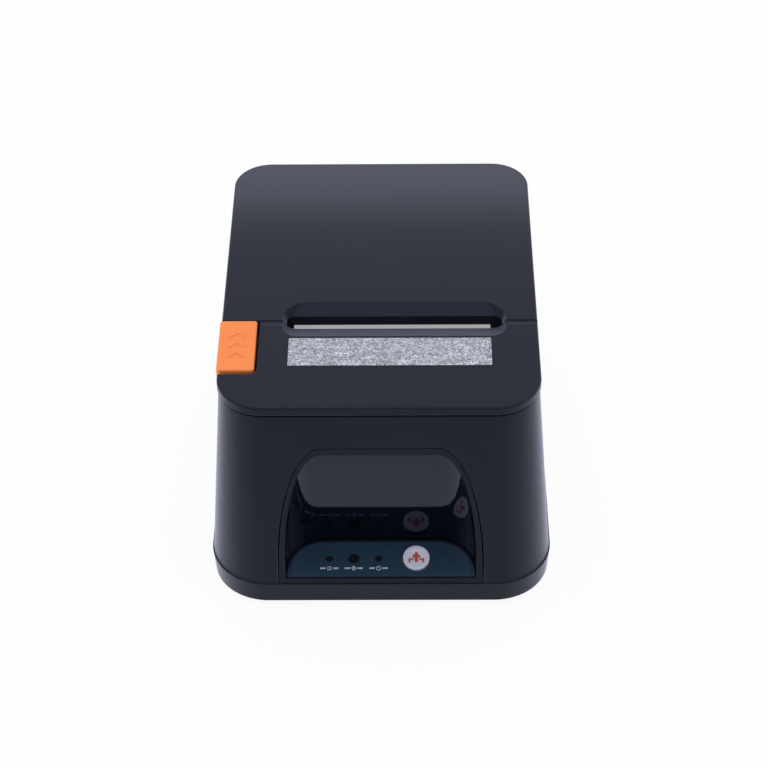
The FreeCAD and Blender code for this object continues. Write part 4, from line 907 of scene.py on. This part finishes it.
@dataclass
class PrintMechanism(SubAssembly):
    """Platen, print head, gear trains and cutter under the covers.

    Attributes:
        head_line_mm: Middle of the line where the platen meets the head.
        head_tilt_deg: Lean of the head.
        heater_mm: Width and height of the row of heating dots.
        heater_corner_mm: Corner radius of that row.
        heater_step_mm: How far the head's face lies behind the line.
        paste_mm: Thickness of the paste.
    """

    head_line_mm: Triple = (5.5, -24.357, 86.592)
    head_tilt_deg: float = 11.6
    heater_mm: Pair = (80.0, 0.8)
    heater_corner_mm: float = 0.3
    heater_step_mm: float = 0.2
    paste_mm: float = 0.02

    def finishes(self) -> dict[Finish, tuple[str, ...]]:
        """Nylon, rubber, ground steel, alloy and ceramic, each where it belongs.

        Returns:
            Names of the nodes, by finish.
        """
        return {
            GEAR_NYLON: ("platen_gear", "idler_gear", "feed_pinion", "cutter_pinions", "cutter_gear", "cutter_drive",
                         "blade_racks"),
            PLATEN_RUBBER: ("platen_rubber",),
            FRAME_SHEET: ("mech_frame",),
            SPRING_STRIP: ("head_spring",),
            PIN_STEEL: ("platen_shaft", "cutter_shaft", "head_pin", "idler_pin"),
            BUSH_ACETAL: ("platen_bushes",),
            BLADE_STEEL: ("moving_blade", "fixed_blade"),
            MOTOR_CAN: ("feed_motor", "cutter_motor"),
            SINK_ALLOY: ("head_sink",),
            HEAD_CERAMIC: ("print_head",),
            INNER_ABS: ("lid_liner", "cutter_guide", "paper_hopper"),
            SENSOR_BLACK: ("paper_sensor",),
        }

    def details(self) -> None:
        """Lay the row of heating dots on the face of the head."""
        bm = bmesh.new()
        rectangle(bm, (0.0, 0.0), self.heater_mm, self.heater_corner_mm)
        thicken(bm, self.paste_mm)
        upright = Matrix.Rotation(-math.pi / 2, 4, "X")
        lean = Matrix.Rotation(math.radians(self.head_tilt_deg), 4, "X")
        step = Matrix.Translation((0, -self.heater_step_mm * MM, 0))
        place = Matrix.Translation(Vector(self.head_line_mm) * MM) @ lean @ step @ upright
        bmesh.ops.transform(bm, matrix=place, verts=bm.verts[:])
        finish_piece("heater_line", bm, HEATER_PASTE, Body.HEAD)


@dataclass
class RearSockets(SubAssembly):
    """Main board with the sockets, the plate around them and the power switch.

    Attributes:
        lan_mm: Tip of the network socket's first contact.
        lan_count: Number of its contacts.
        drawer_mm: Tip of the cash drawer socket's first contact.
        drawer_count: Number of its contacts.
        pitch_mm: Spacing of the contacts.
        strip_mm: Width, length and thickness of a contact spring.
        strip_bend_mm: Distance of its bend from the tip.
        strip_rise: Slope behind the bend.
        rocker_mm: Pivot of the rocker.
        rocker_lean_deg: Lean of the rocker at rest.
        face_mm: Distance of each rocker face's middle from the pivot, out and up.
        face_fall_mm: How far each face falls, and over what length.
        bar_mm: Width, height and corner radius of the stamped bar.
        ring_mm: Outer and inner radius of the stamped ring.
        stamp_mm: Thickness of the stamped ink.
    """

    lan_mm: Triple = (18.5, 83.4, 14.9)
    lan_count: int = 8
    drawer_mm: Triple = (37.2, 83.4, 14.9)
    drawer_count: int = 6
    pitch_mm: float = 1.02
    strip_mm: Triple = (0.45, 10.0, 0.2)
    strip_bend_mm: float = 2.5
    strip_rise: float = 0.25
    rocker_mm: Triple = (-28.0, 84.2, 24.0)
    rocker_lean_deg: float = -10.0
    face_mm: Pair = (2.1, 2.95)
    face_fall_mm: Pair = (1.4, 5.9)
    bar_mm: Triple = (0.5, 2.6, 0.1)
    ring_mm: Pair = (1.4, 0.95)
    stamp_mm: float = 0.03

    def finishes(self) -> dict[Finish, tuple[str, ...]]:
        """Green board, tin shields, black sockets and a gloss switch.

        Returns:
            Names of the nodes, by finish.
        """
        return {
            BOARD_EPOXY: ("main_board",),
            FRAME_SHEET: ("connector_plate",),
            SOCKET_TIN: ("lan_socket", "usb_socket"),
            SOCKET_NYLON: ("dc_inlet", "drawer_socket"),
            SWITCH_NYLON: ("power_rocker", "switch_body"),
        }

    def details(self) -> None:
        """Fit the contact combs and stamp the rocker."""
        self.contact_comb("lan_contacts", self.lan_mm, self.lan_count)
        self.contact_comb("drawer_contacts", self.drawer_mm, self.drawer_count)
        self.rocker_marks()

    def contact_comb(self, name: str, start_mm: Triple, count: int) -> None:
        """Set a row of bent contact springs inside a socket.

        Args:
            name: Name of the piece.
            start_mm: Place of the first spring's tip.
            count: Number of springs.
        """
        bm = bmesh.new()
        width, length, thick = self.strip_mm
        x, tip, z = start_mm
        bend = (tip - self.strip_bend_mm) * MM
        for index in range(count):
            middle_mm = (x + index * self.pitch_mm, tip - length / 2, z)
            for vert in flat_grid(bm, middle_mm, (width, length), rows=4):
                vert.co.z += max(0.0, bend - vert.co.y) * self.strip_rise
        bmesh.ops.solidify(bm, geom=bm.faces[:], thickness=thick * MM)
        finish_piece(name, bm, CONTACT_GOLD, Body.HOUSING)

    def rocker_marks(self) -> None:
        """Stamp a bar on the lower face of the rocker and a ring on the upper one."""
        bm = bmesh.new()
        out, up = self.face_mm
        fall = math.atan2(*self.face_fall_mm)
        rocker = Matrix.Translation(Vector(self.rocker_mm) * MM) @ Matrix.Rotation(
            math.radians(self.rocker_lean_deg), 4, "X")
        face_out = Matrix.Rotation(-math.pi / 2, 4, "X") @ Matrix.Rotation(math.pi, 4, "Z")
        width, height, corner = self.bar_mm
        for side in (-1, 1):
            face = bmesh.new()
            if side < 0:
                rectangle(face, (0.0, 0.0), (width, height), corner)
            else:
                ring(face, (0.0, 0.0), *self.ring_mm)
            thicken(face, self.stamp_mm)
            tilt = Matrix.Rotation(-side * fall, 4, "X")
            place = rocker @ Matrix.Translation((0, out * MM, side * up * MM)) @ tilt @ face_out
            bmesh.ops.transform(face, matrix=place, verts=face.verts[:])
            part = bpy.data.meshes.new("rocker_mark")
            face.to_mesh(part)
            face.free()
            bm.from_mesh(part)
            bpy.data.meshes.remove(part)
        finish_piece("rocker_marks", bm, MARK_INK, Body.ROCKER)


@dataclass(frozen=True)
class Softbox:
    """A soft rectangular lamp that faces the printer.

    Attributes:
        name: Name of the lamp.
        spot_m: Its middle.
        size_m: Width and height.
        watts: Power.
        aim_m: Point that it faces.
        beam_deg: Spread of its beam, 180 for a bare box and less behind a honeycomb.
    """

    name: str
    spot_m: Triple
    size_m: Pair
    watts: float
    aim_m: Triple = (0.0, 0.0, 0.05)
    beam_deg: float = 180.0

    def hang(self, tint: str) -> None:
        """Hang the lamp.

        Args:
            tint: sRGB hex of its light.
        """
        lamp = bpy.data.lights.new(self.name, "AREA")
        lamp.shape = "RECTANGLE"
        lamp.size, lamp.size_y = self.size_m
        lamp.energy = self.watts
        lamp.spread = math.radians(self.beam_deg)
        lamp.color = linear(tint)[:3]
        box = bpy.data.objects.new(self.name, lamp)
        aim = Vector(self.aim_m) - Vector(self.spot_m)
        box.matrix_world = Matrix.Translation(self.spot_m) @ aim.to_track_quat("-Z", "Y").to_matrix().to_4x4()
        box.visible_camera = False
        bpy.context.scene.collection.objects.link(box)


@dataclass
class Studio:
    """Camera of the reference view, pale floor and soft light.

    Attributes:
        target_mm: Point that the camera looks at.
        azimuth_deg: Camera's bearing from the front, towards the right.
        elevation_deg: Camera's height above the horizon.
        roll_deg: Turn of the picture.
        distance_mm: Distance from the target.
        focal_px: Focal length in pixels of the picture.
        floor_m: Width of the floor.
        paper: sRGB hex of the floor's paper.
        white: sRGB hex of the background that camera and mirror rays see.
        daylight: Strength of the even surrounding light.
        glow: Share of plain white that the floor shows to camera and mirror rays.
        lamp_tint: Colour of the lamps and of the surrounding light, a cool white.
        lamps: The softboxes: one overhead, a low strip behind the lid and one at each side.
    """

    target_mm: Triple = (1.17, 1.0, 51.67)
    azimuth_deg: float = 0.81
    elevation_deg: float = 41.24
    roll_deg: float = -0.72
    distance_mm: float = 1032.0
    focal_px: float = 2215.0
    floor_m: float = 12.0
    paper: str = "#eeeeee"
    white: str = "#ffffff"
    daylight: float = 0.39
    glow: float = 0.92
    lamp_tint: str = "#f2f5ff"
    lamps: tuple[Softbox, ...] = (
        Softbox("overhead_softbox", (0.0, -0.1, 1.7), (2.4, 2.4), 29.0),
        Softbox("rear_strip", (0.0, 0.125, 0.15), (0.4, 0.03), 0.034, (0.0, 0.083, 0.1), 74.0),
        Softbox("left_softbox", (-1.1, 0.1, 0.3), (1.2, 0.5), 5.0),
        Softbox("right_softbox", (1.1, 0.1, 0.3), (1.2, 0.5), 4.0),
    )

    def make(self) -> None:
        """Set the view transform and build everything round the printer."""
        bpy.context.scene.view_settings.view_transform = "Standard"
        self.camera()
        self.floor()
        self.surroundings()
        for lamp in self.lamps:
            lamp.hang(self.lamp_tint)
        LOG.info("studio ready with %d lamps", len(self.lamps))

    def camera(self) -> None:
        """Put the camera where the reference view was taken from."""
        bearing, rise = math.radians(self.azimuth_deg), math.radians(self.elevation_deg)
        back = Vector((math.sin(bearing) * math.cos(rise), -math.cos(bearing) * math.cos(rise), math.sin(rise)))
        right = (-back).cross(Vector((0, 0, 1))).normalized()
        turn = Matrix((right, back.cross(right), back)).transposed().to_4x4()
        lens = bpy.data.cameras.new("reference_camera")
        lens.sensor_width = SENSOR_MM
        lens.lens = self.focal_px * SENSOR_MM / IMAGE_PIXELS
        eye = bpy.data.objects.new("reference_camera", lens)
        spot = (Vector(self.target_mm) + back * self.distance_mm) * MM
        eye.matrix_world = Matrix.Translation(spot) @ turn @ Matrix.Rotation(math.radians(self.roll_deg), 4, "Z")
        bpy.context.scene.collection.objects.link(eye)
        bpy.context.scene.camera = eye

    def seen_directly(self, tree: Tree) -> Socket:
        """Tell camera, mirror and glass rays from the light that falls on things.

        Args:
            tree: Node tree of the floor or of the world.

        Returns:
            Output that is 1 for those rays and 0 for the rest.
        """
        path = add_node(tree, "ShaderNodeLightPath", {})
        mirror = add_node(tree, "ShaderNodeMath", {
            0: path.outputs["Is Camera Ray"], 1: path.outputs["Is Glossy Ray"]}, operation="MAXIMUM")
        return add_node(tree, "ShaderNodeMath", {
            0: mirror.outputs[0], 1: path.outputs["Is Transmission Ray"]}, operation="MAXIMUM").outputs[0]

    def floor(self) -> None:
        """Lay a white paper floor that keeps a soft shadow."""
        bm = bmesh.new()
        bmesh.ops.create_grid(bm, x_segments=8, y_segments=8, size=self.floor_m / 2)
        mesh = bpy.data.meshes.new("studio_floor")
        bm.to_mesh(mesh)
        bm.free()
        paper = bpy.data.materials.new("paper_backdrop_white")
        paper.use_nodes = True
        tree = paper.node_tree
        tree.nodes.clear()
        matt = add_node(tree, "ShaderNodeBsdfDiffuse", {"Color": linear(self.paper)})
        white = add_node(tree, "ShaderNodeEmission", {"Color": linear(self.white), "Strength": 1.0})
        share = add_node(tree, "ShaderNodeMath", {0: self.seen_directly(tree), 1: self.glow}, operation="MULTIPLY")
        mixed = add_node(tree, "ShaderNodeMixShader", {0: share.outputs[0], 1: matt.outputs[0], 2: white.outputs[0]})
        add_node(tree, "ShaderNodeOutputMaterial", {"Surface": mixed.outputs[0]})
        mesh.materials.append(paper)
        sheet = bpy.data.objects.new("studio_floor", mesh)
        bpy.context.scene.collection.objects.link(sheet)

    def surroundings(self) -> None:
        """Surround the scene with white, dimmer as light than as background."""
        world = bpy.data.worlds.new("studio_surroundings")
        world.use_nodes = True
        tree = world.node_tree
        tree.nodes.clear()
        light = add_node(tree, "ShaderNodeBackground", {"Color": linear(self.lamp_tint), "Strength": self.daylight})
        white = add_node(tree, "ShaderNodeBackground", {"Color": linear(self.white), "Strength": 1.0})
        mixed = add_node(tree, "ShaderNodeMixShader", {
            0: self.seen_directly(tree), 1: light.outputs[0], 2: white.outputs[0]})
        add_node(tree, "ShaderNodeOutputWorld", {"Surface": mixed.outputs[0]})
        bpy.context.scene.world = world


def main() -> None:
    """Build the studio and dress the printer, one sub-assembly after another."""
    logging.basicConfig(level=logging.INFO, format="%(name)s: %(message)s")
    for unit in (Studio(), Casing(), FrontScoop(), ReleaseAndLatch(), PrintMechanism(), RearSockets()):
        unit.make()


if __name__ == "__main__":
    main()
